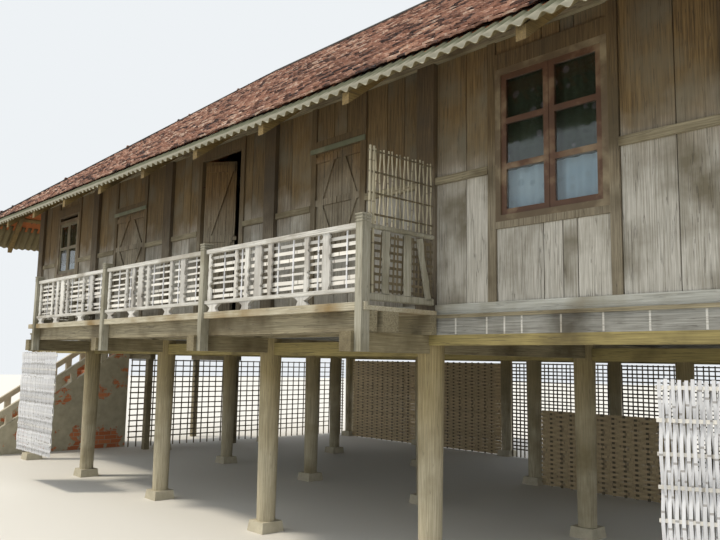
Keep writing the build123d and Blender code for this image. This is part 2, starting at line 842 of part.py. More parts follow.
fixed_leaf, fixed_straps, _ = hung_leaf(fixed_leaf_angle)
end_door_half = door_width / 2 - joint_gap
end_door_plane = Plane(origin=(left_end - leaf_inner + barrel_radius, 0, 0), x_dir=(0, -1, 0), z_dir=(0, 0, 1))
with BuildPart() as fixed_doors:
    add(plank_door(end_door_plane, (-end_door_half, end_door_half), (floor_top + joint_gap, door_top - joint_gap)))
    add(mirror(fixed_leaf, about=doorway_middle))
    add(mirror(fixed_straps, about=doorway_middle))
save(fixed_doors.part, "fixed_doors")

# Porch beams lie on the cross beams and end in square butts past the last one
porch_ends = (porch_lines[0] - beam_overhang, porch_lines[-1] + beam_overhang)
rail_post_back = front - rail_post_reach + rail_post_depth
porch_beam_top = cross_beam_top + porch_beam_height
ledge_front = front - girder_outer - ledge_reach
with BuildPart() as porch_beams:
    for y in (upwards(rail_post_back + joint_gap, edge_beam_thickness),
              upwards(front - inner_beam_reach, inner_beam_width),
              upwards(ledge_front - joint_gap, -ledger_width)):
        block(porch_ends, y, (cross_beam_top, porch_beam_top))
save(porch_beams.part, "porch_beams")

# Deck boards cut round the railing posts, with an edge board in front
rail_post_x = [x + cross_beam_width / 2 + joint_gap + rail_post_width / 2 for x in porch_lines]
rail_post_y = front - rail_post_reach + rail_post_depth / 2
deck_front = rail_post_y - rail_width / 2
with BuildPart() as deck:
    block(porch_ends, upwards(deck_front, edge_board_thickness), upwards(porch_beam_top, edge_board_height))
    block(porch_ends, (deck_front + edge_board_thickness + joint_gap, ledge_front - joint_gap),
          upwards(porch_beam_top, deck_thickness))
    for x in rail_post_x:
        block(around(x, rail_post_width + 2 * joint_gap), around(rail_post_y, rail_post_depth + 2 * joint_gap),
              (cross_beam_top, rail_post_top), mode=Mode.SUBTRACT)
save(deck.part, "porch_deck")

# Railing: posts on the sides of the beams, rails, uneven flat balusters, and waisted blocks on the deck edge
railing_bays = [(a + rail_post_width / 2 + joint_gap, b - rail_post_width / 2 - joint_gap)
                for a, b in zip(rail_post_x[:-1], rail_post_x[1:])]
edge_board_top = porch_beam_top + edge_board_height
bottom_rail_bottom = bottom_rail_top - bottom_rail_height
top_rail_bottom = top_rail_top - top_rail_height
baluster_sizes = [(60, 49), (479, 50), (642, 60), (806, 107), (972, 60), (1445, 56), (1675, 92)]
stake_offsets = (266, 540, 1058, 1254, 1560, 1886)
block_centres = (125, 640, 1400)
block_top_width, block_foot_width, block_waist = 220, 150, 90
end_rail_y = (rail_post_back + joint_gap, front - post_half - joint_gap)
end_rail_x = (rail_post_x[0], rail_post_x[-1])
with BuildPart() as railing:
    for x in rail_post_x:
        block(around(x, rail_post_width), around(rail_post_y, rail_post_depth), (cross_beam_bottom, rail_post_top))
        for k in (0, 2, 4):
            block(around(x, rail_post_width + 2 * cap_overhang), around(rail_post_y, rail_post_depth + 2 * cap_overhang),
                  upwards(rail_post_top - k * cap_height, cap_height))
    for a, b in railing_bays:
        block((a, b), around(rail_post_y, rail_width), (top_rail_bottom, top_rail_top))
        block((a, b), around(rail_post_y, rail_width), (bottom_rail_bottom, bottom_rail_top))
        for offset, width in baluster_sizes:
            block(around(a + offset, width), around(rail_post_y, baluster_thickness),
                  (bottom_rail_top, top_rail_bottom))
        for centre in block_centres:
            x, waist_z = a + centre, (edge_board_top + bottom_rail_bottom) / 2
            prism(Plane.XZ.offset(-deck_front - edge_board_thickness),
                  [(x - block_top_width / 2, bottom_rail_bottom), (x + block_top_width / 2, bottom_rail_bottom),
                   (x + block_waist / 2, waist_z), (x + block_foot_width / 2, edge_board_top),
                   (x - block_foot_width / 2, edge_board_top), (x - block_waist / 2, waist_z)],
                  edge_board_thickness)
    for x in end_rail_x:
        for z in (top_rail_bottom, bottom_rail_top - top_rail_height):
            block(around(x, rail_width), end_rail_y, upwards(z, top_rail_height))
        for k in range(4):
            y = end_rail_y[0] + (k + 0.7) * (end_rail_y[1] - end_rail_y[0]) / 4.4
            block(around(x, baluster_thickness), around(y, end_baluster_width), (bottom_rail_top, top_rail_bottom))
save(railing.part, "porch_railing")

# Split bamboo woven behind the balusters, and a tall screen over the right-hand end of the porch
weave_y = rail_post_y + baluster_thickness / 2 + joint_gap
screen_x = rail_post_x[-1]
with BuildPart() as weave:
    for a, b in railing_bays:
        for k in range(weave_rows):
            block((a, b), upwards(weave_y, weave_thickness), around(weave_bottom + weave_spacing * k, weave_height))
        for offset in stake_offsets:
            block(around(a + offset, stake_size), upwards(weave_y + weave_thickness / 2, weave_thickness),
                  (bottom_rail_top, top_rail_bottom))
    for k in range(4):
        block(around(screen_x, weave_thickness), (end_rail_y[0] + rail_width, end_rail_y[1] - batten_thickness),
              upwards(screen_top - screen_rail_height - k * screen_rail_spacing, screen_rail_height))
    for k in range(10):
        block(upwards(screen_x, weave_thickness),
              around(end_rail_y[0] + rail_width + stake_size + k * screen_stake_spacing, stake_size),
              (top_rail_top, screen_top))
save(weave.part, "porch_weave")

# Stair: brick steps between two side walls with sloping tops
stair_left = stair_right - stair_width
stair_foot = stair_back - (riser_count - 1) * going
stair_top = riser_count * riser
step_outline = [(stair_foot, 0)]
for k in range(riser_count - 1):
    step_outline += [(stair_foot + k * going, (k + 1) * riser), (stair_foot + (k + 1) * going, (k + 1) * riser)]
step_outline.append((stair_back, 0))
with BuildPart() as steps:
    prism(Plane.YZ.offset(stair_left + stair_side_thickness + joint_gap), step_outline,
          stair_width - 2 * stair_side_thickness - 2 * joint_gap)
save(steps.part, "stair_steps")

curb_start = stair_foot - going / 2
curb_slope = riser / going


def curb_top(y):
    """Height of the side walls' tops."""
    return riser / 2 + curb_height + (y - curb_start) * curb_slope


side_walls_x = (stair_left, stair_right - stair_side_thickness)
with BuildPart() as stair_sides:
    for x in side_walls_x:
        prism(Plane.YZ.offset(x), [(curb_start, 0), (stair_back, 0), (stair_back, curb_top(stair_back)),
                                   (curb_start, curb_top(curb_start))], stair_side_thickness)
save(stair_sides.part, "stair_sides")

rail_ends = (curb_start + going / 4, stair_back - going / 4)
with BuildPart() as stair_rails:
    for x in side_walls_x:
        rail_plane = Plane.YZ.offset(x + (stair_side_thickness - stair_rail_width) / 2)
        low, high = curb_top(rail_ends[0]) + stair_rail_rise, curb_top(rail_ends[1]) + stair_rail_rise
        prism(rail_plane, [(rail_ends[0], low), (rail_ends[1], high), (rail_ends[1], high + stair_rail_height),
                           (rail_ends[0], low + stair_rail_height)], stair_rail_width)
        for k in range(riser_count - 1):
            y0 = curb_start + going / 2 + k * going
            y1 = y0 + stair_post_width
            prism(rail_plane, [(y0, curb_top(y0)), (y1, curb_top(y1)), (y1, curb_top(y1) + stair_rail_rise + 1),
                               (y0, curb_top(y0) + stair_rail_rise + 1)], stair_rail_width)
save(stair_rails.part, "stair_rails")

# Landing between the stair and the door in the end wall, with one step up to the door
landing_right = left_end - cross_beam_width / 2 - joint_gap
bearer_top = stair_top - landing_boards
bearer_bottom = bearer_top - landing_bearer
with BuildPart() as landing:
    block((stair_left, landing_right), (stair_back + joint_gap, landing_back), upwards(stair_top, -landing_boards))
    for y in (stair_back + landing_inset, landing_back - landing_inset):
        block((stair_left, landing_right), around(y, landing_post_size), (bearer_bottom, bearer_top))
        for x in (stair_left + landing_inset, landing_right - landing_inset):
            block(around(x, landing_post_size), around(y, landing_post_size), (0, bearer_bottom))
    block(upwards(landing_right, -door_step_depth), around(0, door_step_width),
          (stair_top, (stair_top + floor_top) / 2))
    post_shapes(grow=2 * joint_gap, mode=Mode.SUBTRACT)
save(landing.part, "landing")


# Bamboo fences under the house, let in between the posts
def clear_of_posts():
    post_shapes(grow=joint_gap, mode=Mode.SUBTRACT)
    with Locations(*[(x, y, footing_height / 2) for x, y in grid]):
        Box(footing_base + 2 * joint_gap, footing_base + 2 * joint_gap, footing_height + 2 * joint_gap,
            mode=Mode.SUBTRACT)


def fence_rows(top):
    return [top - bar_width / 2 - k * fence_rail_spacing for k in range(int(top // fence_rail_spacing))]


def fence_uprights(start, end, spacing):
    count = round((end - start) / spacing)
    step = (end - start - bar_width) / count
    return [start + bar_width / 2 + k * step for k in range(count + 1)]


with BuildPart() as back_fence:
    for x0, x1 in ((end_fence_x, left_end), (column_x[2], right_end)):
        with Locations(*[(x, back, fence_top / 2) for x in fence_uprights(x0, x1, fence_bar_spacing)]):
            Box(bar_width, bar_thickness, fence_top)
        with Locations(*[((x0 + x1) / 2, back + bar_thickness / 2, z) for z in fence_rows(fence_top)]):
            Box(x1 - x0, bar_thickness / 2, bar_width)
    clear_of_posts()
save(back_fence.part, "back_fence")

end_fence_top = bearer_bottom - joint_gap
with BuildPart() as end_fences:
    for x, y0, y1 in ((end_fence_x, stair_back + joint_gap, back - bar_width), (right_end, front, back)):
        with Locations(*[(x, y, end_fence_top / 2) for y in fence_uprights(y0, y1, 2 * fence_bar_spacing)]):
            Box(bar_thickness, bar_width, end_fence_top)
        with Locations(*[(x + bar_thickness / 2, (y0 + y1) / 2, z) for z in fence_rows(end_fence_top)]):
            Box(bar_thickness / 2, y1 - y0, bar_width)
    clear_of_posts()
save(end_fences.part, "end_fences")

# Woven walls: two bays at the back, and a low one on the third row
with BuildPart() as wattle:
    block((column_x[0], column_x[2] - bar_width), around(back, wattle_thickness), (0, fence_top))
    block((column_x[3], column_x[4]), around(row_y[2], wattle_thickness), (0, half_wall_height))
    clear_of_posts()
save(wattle.part, "wattle_walls")

# A bamboo panel hung from a cross beam under the left end of the porch, and one that leans on the last post
hanging_x = upwards(porch_lines[0] - hanging_width / 6, hanging_width)
hanging_y = front - porch_reach + bar_thickness
with BuildPart() as hanging:
    block(hanging_x, around(hanging_y, bar_thickness), upwards(cross_beam_bottom, -2 * bar_thickness))
    for k in range(hanging_strips):
        x = hanging_x[0] + strip_width / 2 + k * (hanging_width - strip_width) / (hanging_strips - 1)
        block(around(x, strip_width), around(hanging_y, strip_thickness),
              (hanging_bottom, cross_beam_bottom - bar_thickness))
    for k in range(4):
        z = hanging_bottom + (k + 0.3) * (cross_beam_bottom - hanging_bottom) / 4
        block(hanging_x, upwards(hanging_y, strip_thickness), upwards(z, bar_width))

panel_foot = (4978, -3710)
panel_direction = (cos(radians(panel_angle)), sin(radians(panel_angle)), 0)
with BuildPart(Plane(origin=(*panel_foot, 0), x_dir=panel_direction, z_dir=(0, 0, 1))) as loose_panel:
    for k in range(panel_strips):
        x = strip_width / 2 + k * (panel_width - strip_width) / (panel_strips - 1)
        block(around(x, strip_width), (-strip_thickness, 0), (0, panel_height))
    for k in range(5):
        z = (k + 0.4) * panel_height / 5
        block((0, panel_width), (-strip_thickness / 2, strip_thickness), upwards(z, bar_width))
with BuildPart() as leaning:
    add(loose_panel.part)
    clear_of_posts()
save(gathered(hanging.part, leaning.part), "bamboo_panels")
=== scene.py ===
# %% [markdown]
# # A timber stilt house with a tiled roof
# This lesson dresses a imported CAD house: round posts under a framed floor, a plank wall with a railed
# porch, a hipped roof of small clay tiles and a brick stair. The CAD keeps every size. Here the surfaces
# are made: tiles, corrugated sheets, boards, woven bamboo, curtains and the finish of each material.

# %% Load the frame
import math
import random

import bmesh
import bpy
from mathutils import Matrix, Vector


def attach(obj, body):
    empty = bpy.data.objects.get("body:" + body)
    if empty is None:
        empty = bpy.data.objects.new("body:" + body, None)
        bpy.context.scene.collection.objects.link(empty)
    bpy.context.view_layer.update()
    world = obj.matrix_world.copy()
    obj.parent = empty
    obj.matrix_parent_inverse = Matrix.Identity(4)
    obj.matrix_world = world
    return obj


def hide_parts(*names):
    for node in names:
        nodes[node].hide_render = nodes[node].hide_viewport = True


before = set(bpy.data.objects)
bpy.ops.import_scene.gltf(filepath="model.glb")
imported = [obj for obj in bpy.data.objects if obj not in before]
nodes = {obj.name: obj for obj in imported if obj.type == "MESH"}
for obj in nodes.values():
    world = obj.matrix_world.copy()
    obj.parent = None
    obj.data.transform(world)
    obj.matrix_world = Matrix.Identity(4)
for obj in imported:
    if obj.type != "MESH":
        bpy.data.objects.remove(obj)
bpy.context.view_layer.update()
scene = bpy.context.scene
scene.view_settings.view_transform = "Standard"
chance = random.Random(7)

# %% [markdown]
# ## Camera
# The viewer stands on the ground at the right-hand end and looks along the front, slightly upwards.
# A camera could be aimed with constraints, but three direction vectors in a matrix say exactly where
# it looks, and they leave nothing live in the file.

# %% Place the camera
eye = Vector((6.868, -7.690, 1.623))
heading, pitch, roll = math.radians(47.29), math.radians(7.06), math.radians(1.02)
look = Vector((-math.sin(heading) * math.cos(pitch), math.cos(heading) * math.cos(pitch), math.sin(pitch)))
level = Vector((math.cos(heading), math.sin(heading), 0))
upright = level.cross(look)
right = level * math.cos(roll) + upright * math.sin(roll)
up = upright * math.cos(roll) - level * math.sin(roll)
camera = bpy.data.objects.new("camera", bpy.data.cameras.new("camera"))
camera.data.sensor_width = 36
camera.data.lens = 36.83
camera.matrix_world = Matrix.Translation(eye) @ Matrix((right, up, -look)).transposed().to_4x4()
scene.collection.objects.link(camera)
scene.camera = camera
print("camera at", eye[:])

# %% [markdown]
# ## Nodes for the finishes
# Every finish below is a small node tree. Colours are written as a painter would pick them, in sRGB,
# and one function turns them to the linear values that light works in. One more function adds a node
# with its settings and links, so a finish reads from top to bottom like a recipe. Sockets are given by
# name or by number: a Mix of colours has its factor in 0 and the colours in 6 and 7, and a Map Range
# takes the range from 1 to 2 and gives the range from 3 to 4, or from 0 to 1 when these are left out.

# %% Helpers for the finishes
def paint(hex_text):
    """An sRGB hex colour as linear RGBA."""
    parts = [int(hex_text[i:i + 2], 16) / 255 for i in (1, 3, 5)]
    return (*[c / 12.92 if c <= 0.04045 else ((c + 0.055) / 1.055) ** 2.4 for c in parts], 1)


def add_node(tree, kind, feeds, **settings):
    """Add a node, set its fields, and set or link its inputs."""
    made = tree.nodes.new("ShaderNode" + kind)
    for field, value in settings.items():
        setattr(made, field, value)
    for socket, source in feeds.items():
        if isinstance(source, bpy.types.NodeSocket):
            tree.links.new(source, made.inputs[socket])
        else:
            made.inputs[socket].default_value = source
    return made


def start_finish(name, roughness):
    """A new material with its tree, its shader and the object's own coordinates."""
    finish = bpy.data.materials.new(name)
    finish.use_nodes = True
    tree = finish.node_tree
    shader = tree.nodes["Principled BSDF"]
    shader.inputs["Roughness"].default_value = roughness
    place = add_node(tree, "TexCoord", {}).outputs["Object"]
    return finish, tree, shader, place


def end_finish(tree, shader, colour, height, strength, depth):
    """Put the colour on the shader, and a fine relief of a depth in metres."""
    bump = add_node(tree, "Bump", {"Height": height, "Strength": strength, "Distance": depth}).outputs[0]
    tree.links.new(colour, shader.inputs["Base Color"])
    tree.links.new(bump, shader.inputs["Normal"])


def grain_scale(grain, across, along):
    """Scales of a pattern whose marks are so wide across the grain and so long along it, in metres."""
    scale = [1 / across] * 3
    scale["XYZ".index(grain)] = 1 / along
    return scale


def wall_run(tree, place):
    """The distance along a wall, which is X plus Y and so turns every corner, and the height."""
    axes = add_node(tree, "SeparateXYZ", {0: place})
    run = add_node(tree, "Math", {0: axes.outputs[0], 1: axes.outputs[1]}, operation="ADD").outputs[0]
    return run, axes.outputs[2]


print("finish helpers ready")

# %% [markdown]
# ## Weathered timber
# Most of the house is hardwood that was sawn or hewn, never painted, and has stood in rain and sun.
# Its eye-catching features are long fibres along the grain, dark checks where it has split, and grey
# or brown patches. Stretched noise draws them, with fibres 8 mm wide and 300 mm long, checks 45 mm
# apart and stains about 450 mm across. Real fibres are finer still, too fine to show, so these are drawn
# coarser. Under the eave, where no rain reaches, the wood stays brown, down to a line that wavers every
# 330 mm or so. Boards carry a number called tone, so each one has its own shade and its own stretch of
# pattern. Weathered wood is matt, hence the high roughness.

# %% The timber finish
fibre_width = 0.008
fibre_length = 0.30
check_spacing = 0.045
check_length = 1.1
check_width = 0.008
patch_size = 0.45
fibre_dark, fibre_light = 0.32, 0.68
stain_starts, stain_full = 0.48, 0.72
tone_shift = (7.3, 11.9, 5.1)
tone_darkest, tone_lightest = 0.78, 1.16
wavers_per_metre, weather_line_waver = 3.0, 0.7
seam_half = 0.0025
check_depth = -1.5
timber_relief = 0.0015
timber_roughness = 0.82


def timber(name, grain, light, dark, stain, checks=0.4, toned=False, upper=None, line=(3.15, 3.6),
           planks=None):
    """Weathered timber with its grain along one axis. Upper gives (light, dark) above the weather line,
    whose lowest and highest heights are in line, and planks is the width of drawn planks."""
    finish, tree, shader, place = start_finish(name, timber_roughness)
    if toned:
        tone = add_node(tree, "Attribute", {}, attribute_name="tone").outputs["Fac"]
        shift = add_node(tree, "VectorMath", {0: tone_shift, "Scale": tone}, operation="SCALE").outputs[0]
        place_grain = add_node(tree, "VectorMath", {0: place, 1: shift}, operation="ADD").outputs[0]
    else:
        place_grain = place
    fibre_scale = grain_scale(grain, fibre_width, fibre_length)
    fibre_place = add_node(tree, "Mapping", {"Vector": place_grain, "Scale": fibre_scale}).outputs[0]
    fibre = add_node(tree, "TexNoise", {"Vector": fibre_place, "Scale": 1.0,
                                        "Detail": 6.0, "Roughness": 0.65})
    spread = add_node(tree, "MapRange", {0: fibre.outputs[0], 1: fibre_dark, 2: fibre_light}).outputs[0]
    body = add_node(tree, "Mix", {0: spread, 6: paint(dark), 7: paint(light)}, data_type="RGBA").outputs[2]
    if upper:
        high = add_node(tree, "Mix", {0: spread, 6: paint(upper[1]), 7: paint(upper[0])},
                        data_type="RGBA").outputs[2]
        height = add_node(tree, "SeparateXYZ", {0: place}).outputs[2]
        waver = add_node(tree, "TexNoise", {"Vector": place_grain, "Scale": wavers_per_metre,
                                            "Detail": 3.0}).outputs[0]
        level_z = add_node(tree, "Math", {0: waver, 1: weather_line_waver, 2: height},
                           operation="MULTIPLY_ADD").outputs[0]
        above = add_node(tree, "MapRange", {0: level_z, 1: line[0], 2: line[1]}).outputs[0]
        body = add_node(tree, "Mix", {0: above, 6: body, 7: high}, data_type="RGBA").outputs[2]
    patch = add_node(tree, "TexNoise", {"Vector": place_grain, "Scale": 1 / patch_size, "Detail": 5.0})
    soiled = add_node(tree, "MapRange", {0: patch.outputs[0], 1: stain_starts, 2: stain_full}).outputs[0]
    body = add_node(tree, "Mix", {0: soiled, 6: body, 7: paint(stain)}, data_type="RGBA").outputs[2]
    check_scale = grain_scale(grain, check_spacing, check_length)
    check_place = add_node(tree, "Mapping", {"Vector": place_grain, "Scale": check_scale}).outputs[0]
    check_noise = add_node(tree, "TexNoise", {"Vector": check_place, "Scale": 1.0, "Detail": 3.0}).outputs[0]
    check = add_node(tree, "Math", {0: check_noise, 1: 0.5, 2: check_width}, operation="COMPARE").outputs[0]
    check_mix = add_node(tree, "Math", {0: check, 1: checks}, operation="MULTIPLY").outputs[0]
    body = add_node(tree, "Mix", {0: check_mix, 6: body, 7: paint("#39322a")}, data_type="RGBA").outputs[2]
    if planks:
        along, _ = wall_run(tree, place)
        turns = add_node(tree, "Math", {0: along, 1: 1 / planks}, operation="MULTIPLY").outputs[0]
        part = add_node(tree, "Math", {0: turns}, operation="FRACT").outputs[0]
        seam = add_node(tree, "Math", {0: part, 1: 0.5, 2: seam_half / planks},
                        operation="COMPARE").outputs[0]
        body = add_node(tree, "Mix", {0: seam, 6: body, 7: paint("#2b241b")}, data_type="RGBA").outputs[2]
    if toned:
        shade = add_node(tree, "MapRange", {0: tone, 3: tone_darkest, 4: tone_lightest}).outputs[0]
        body = add_node(tree, "HueSaturation", {"Color": body, "Value": shade}).outputs[0]
    relief = add_node(tree, "Math", {0: check_mix, 1: check_depth, 2: spread},
                      operation="MULTIPLY_ADD").outputs[0]
    end_finish(tree, shader, body, relief, 0.6, timber_relief)
    return finish


wall_timber = timber("sawn_wall_boards", "Z", "#cecbc1", "#918c7f", "#6f6856", toned=True,
                     upper=("#856f48", "#493a24"))
post_timber = timber("hewn_log_posts", "Z", "#c3baa0", "#968d74", "#857a5c", checks=0.25,
                     upper=("#a4956c", "#776a49"), line=(1.05, 1.9))
upright_timber = timber("squared_wall_posts", "Z", "#8d8370", "#585044", "#443c30",
                        upper=("#66563b", "#3c3020"))
jamb_timber = timber("planed_jambs", "Z", "#9b917a", "#696050", "#514733", upper=("#746242", "#473823"))
long_timber = timber("beams_along_the_front", "X", "#a39a7f", "#6e654e", "#5c5139")
girder_timber = timber("grey_floor_girders", "X", "#a6a69f", "#72716a", "#4f4b41", checks=0.35)
tie_timber = timber("olive_tie_rails", "X", "#a89a63", "#776b43", "#5d5233")
sill_timber = timber("pale_sill_boards", "X", "#cbccc3", "#a3a297", "#958e7a", checks=0.25)
deck_timber = timber("porch_deck_boards", "X", "#c9c3ad", "#978e76", "#86714a", checks=0.3)
deep_timber = timber("beams_into_the_house", "Y", "#9c9274", "#6d634a", "#54492f")
dark_timber = timber("roof_timbers", "Y", "#8a7443", "#5f4d2c", "#46391f")
rail_timber = timber("bleached_rails", "X", "#dad9d3", "#b0ada3", "#979184", checks=0.3)
baluster_timber = timber("bleached_balusters", "Z", "#e2e1dc", "#b9b6ad", "#99938a", checks=0.25, toned=True)
rail_post_timber = timber("grey_railing_posts", "Z", "#b3b0a1", "#85816f", "#716b55", checks=0.3)
leaf_timber = timber("shutter_and_door_planks", "Z", "#a79e89", "#6f6654", "#564c39", planks=0.125,
                     upper=("#876c43", "#503c22"), line=(3.35, 3.9))
print("timber finishes made")

# %% [markdown]
# ## Fired clay, cement and brick
# The tiles are small, flat and hand made. No two left the kiln alike, so each tile takes its shade from
# its tone: most are red-brown, some nearly black with soot and algae, a few pale. Clay and cement are
# matt, so roughness is high and only a fine bump breaks the light. The tiles' undersides, seen from
# below at the eave, are clean and orange. Grime comes in spots of about 40 mm, and the weather darkens
# stretches of about 0.9 m.

# %% Clay tiles, ridge caps and the tiles' undersides
grime_per_metre, grime_share = 26.0, 0.9
weather_per_metre, weather_share = 1.1, 0.5
tone_level = -0.70
clay_relief = 0.003


def clay(name, shades, rough=0.88):
    """Fired clay. Shades are (position, colour) stops that the tone of each tile picks from."""
    finish, tree, shader, place = start_finish(name, rough)
    tone = add_node(tree, "Attribute", {}, attribute_name="tone").outputs["Fac"]
    grime = add_node(tree, "TexNoise", {"Vector": place, "Scale": grime_per_metre, "Detail": 4.0}).outputs[0]
    mixed = add_node(tree, "Math", {0: grime, 1: grime_share, 2: tone}, operation="MULTIPLY_ADD").outputs[0]
    weather = add_node(tree, "TexNoise", {"Vector": place, "Scale": weather_per_metre, "Detail": 4.0})
    choice = add_node(tree, "Math", {0: weather.outputs[0], 1: weather_share, 2: mixed},
                      operation="MULTIPLY_ADD").outputs[0]
    level_tone = add_node(tree, "Math", {0: choice, 1: tone_level}, operation="ADD").outputs[0]
    ramp = add_node(tree, "ValToRGB", {0: level_tone})
    while len(ramp.color_ramp.elements) < len(shades):
        ramp.color_ramp.elements.new(0.5)
    for element, (position, colour) in zip(ramp.color_ramp.elements, shades):
        element.position = position
        element.color = paint(colour)
    end_finish(tree, shader, ramp.outputs[0], grime, 0.5, clay_relief)
    return finish


tile_clay = clay("fired_clay_tiles", [(0.0, "#3a3030"), (0.16, "#644b41"), (0.4, "#906b5a"),
                                      (0.7, "#ab8370"), (0.9, "#be9983"), (1.0, "#d2bba8")])
cap_clay = clay("dark_ridge_clay", [(0.0, "#33302d"), (0.6, "#57463e"), (1.0, "#7a5c4c")])
under_clay = clay("clay_undersides", [(0.0, "#9a5a2e"), (0.6, "#c87a38"), (1.0, "#dc9a55")])
print("clay finishes made")

# %% [markdown]
# The stair is brick under a thin cement render, which has fallen off in places. A brick texture with
# 215 by 65 mm bricks and 10 mm joints shows through where a slow noise passes a threshold, in patches
# of about 450 mm. The render is mottled every 110 mm, and cement and moss every 140 mm. The sheets along
# the eave are pressed fibre cement: grey and matt, and green with moss where the tiles keep them damp.
# A pale band along the lower edge is a painted highlight where the waves catch the light, and the
# undersides are darkened with painted shade.

# %% Rendered brick, cement and corrugated sheet
brick_length, brick_height, mortar = 0.215, 0.065, 0.010
render_mottles_per_metre, bare_patches_per_metre = 9.0, 2.2
bare_starts, bare_full, render_thickness = 0.515, 0.535, -0.8
cement_mottles_per_metre, moss_per_metre = 7.0, 7.0
moss_low, moss_high, moss_waver = 3.70, 3.76, 0.16
painted_highlight_high, painted_highlight_low = 3.552, 3.532


def rendered_brick():
    """Grey render over brick, with bare patches."""
    finish, tree, shader, place = start_finish("render_over_brick", 0.92)
    along, height = wall_run(tree, place)
    wall_place = add_node(tree, "CombineXYZ", {0: along, 1: height}).outputs[0]
    bricks = add_node(tree, "TexBrick", {
        "Vector": wall_place, "Color1": paint("#b0643f"), "Color2": paint("#c98156"),
        "Mortar": paint("#a79c86"), "Scale": 1.0, "Mortar Size": mortar / 2, "Mortar Smooth": 0.2,
        "Brick Width": brick_length + mortar, "Row Height": brick_height + mortar}).outputs[0]
    fine = add_node(tree, "TexNoise", {"Vector": place, "Scale": render_mottles_per_metre,
                                       "Detail": 6.0}).outputs[0]
    render = add_node(tree, "Mix", {0: fine, 6: paint("#8f8a76"), 7: paint("#c4bda6")},
                      data_type="RGBA").outputs[2]
    slow = add_node(tree, "TexNoise", {"Vector": place, "Scale": bare_patches_per_metre,
                                       "Detail": 5.0, "Roughness": 0.6}).outputs[0]
    bare = add_node(tree, "MapRange", {0: slow, 1: bare_starts, 2: bare_full}).outputs[0]
    body = add_node(tree, "Mix", {0: bare, 6: render, 7: bricks}, data_type="RGBA").outputs[2]
    relief = add_node(tree, "Math", {0: bare, 1: render_thickness, 2: fine},
                      operation="MULTIPLY_ADD").outputs[0]
    end_finish(tree, shader, body, relief, 0.7, 0.006)
    return finish


def cement():
    """Cast cement, coarse and stained."""
    finish, tree, shader, place = start_finish("cast_cement", 0.9)
    coarse = add_node(tree, "TexNoise", {"Vector": place, "Scale": cement_mottles_per_metre,
                                         "Detail": 7.0, "Roughness": 0.7}).outputs[0]
    body = add_node(tree, "Mix", {0: coarse, 6: paint("#8d8570"), 7: paint("#d6cfb8")},
                    data_type="RGBA").outputs[2]
    end_finish(tree, shader, body, coarse, 0.5, 0.006)
    return finish


def mossy_sheet():
    """Fibre cement: moss just under the tiles, grey below, a painted highlight at the edge, painted shade
    underneath.
    """
    finish, tree, shader, place = start_finish("mossy_fibre_cement", 0.9)
    height = add_node(tree, "SeparateXYZ", {0: place}).outputs[2]
    growth = add_node(tree, "TexNoise", {"Vector": place, "Scale": moss_per_metre,
                                         "Detail": 6.0, "Roughness": 0.65}).outputs[0]
    level_z = add_node(tree, "Math", {0: growth, 1: moss_waver, 2: height},
                       operation="MULTIPLY_ADD").outputs[0]
    moss = add_node(tree, "MapRange", {0: level_z, 1: moss_low, 2: moss_high}).outputs[0]
    green = add_node(tree, "Mix", {0: growth, 6: paint("#3b3f2c"), 7: paint("#6c6d55")},
                     data_type="RGBA").outputs[2]
    bare = add_node(tree, "Mix", {0: growth, 6: paint("#6f6c5b"), 7: paint("#aaa695")},
                    data_type="RGBA").outputs[2]
    # Painted highlight: a pale band along the lower edge, where the waves catch the light.
    edge = add_node(tree, "MapRange", {0: height, 1: painted_highlight_high, 2: painted_highlight_low}).outputs[0]
    body = add_node(tree, "Mix", {0: edge, 6: bare, 7: paint("#d2cfba")}, data_type="RGBA").outputs[2]
    body = add_node(tree, "Mix", {0: moss, 6: body, 7: green}, data_type="RGBA").outputs[2]
    # Painted shade: faces that look down, the undersides of the sheets, are darkened.
    facing = add_node(tree, "NewGeometry", {}).outputs["Normal"]
    painted_shade_facing_z = add_node(tree, "SeparateXYZ", {0: facing}).outputs[2]
    below = add_node(tree, "Math", {0: painted_shade_facing_z, 1: 0.0}, operation="LESS_THAN").outputs[0]
    body = add_node(tree, "Mix", {0: below, 6: body, 7: paint("#6b6144")}, data_type="RGBA").outputs[2]
    end_finish(tree, shader, body, growth, 0.5, 0.004)
    return finish


brick_render = rendered_brick()
footing_cement = cement()
sheet_moss = mossy_sheet()
print("masonry and sheet finishes made")

# %% [markdown]
# ## Bamboo
# Split bamboo dries from green to straw and then to silver. It is smoother than timber, so it has a
# slight sheen, and every 300 mm or so a dark ring marks a joint of the cane. The rings come from the
# fraction of the distance along the grain, shifted by each strip's tone. Its fibres are drawn 5 mm wide
# and 200 mm long. Old oil paint on the sashes is dull and worn to the wood in patches of 170 mm, and
# wrought iron is mottled with rust every 17 mm and hardly shines.

# %% Bamboo, paint and iron
ring_spacing = 0.30
ring_half, ring_strength = 0.02, 0.55
bamboo_fibre_width, bamboo_fibre_length = 0.005, 0.2
strip_darkest, strip_lightest = 0.75, 1.2
wear_per_metre = 6.0
wear_starts, wear_full = 0.50, 0.74
rust_per_metre = 60.0
left_window_end = -3.0


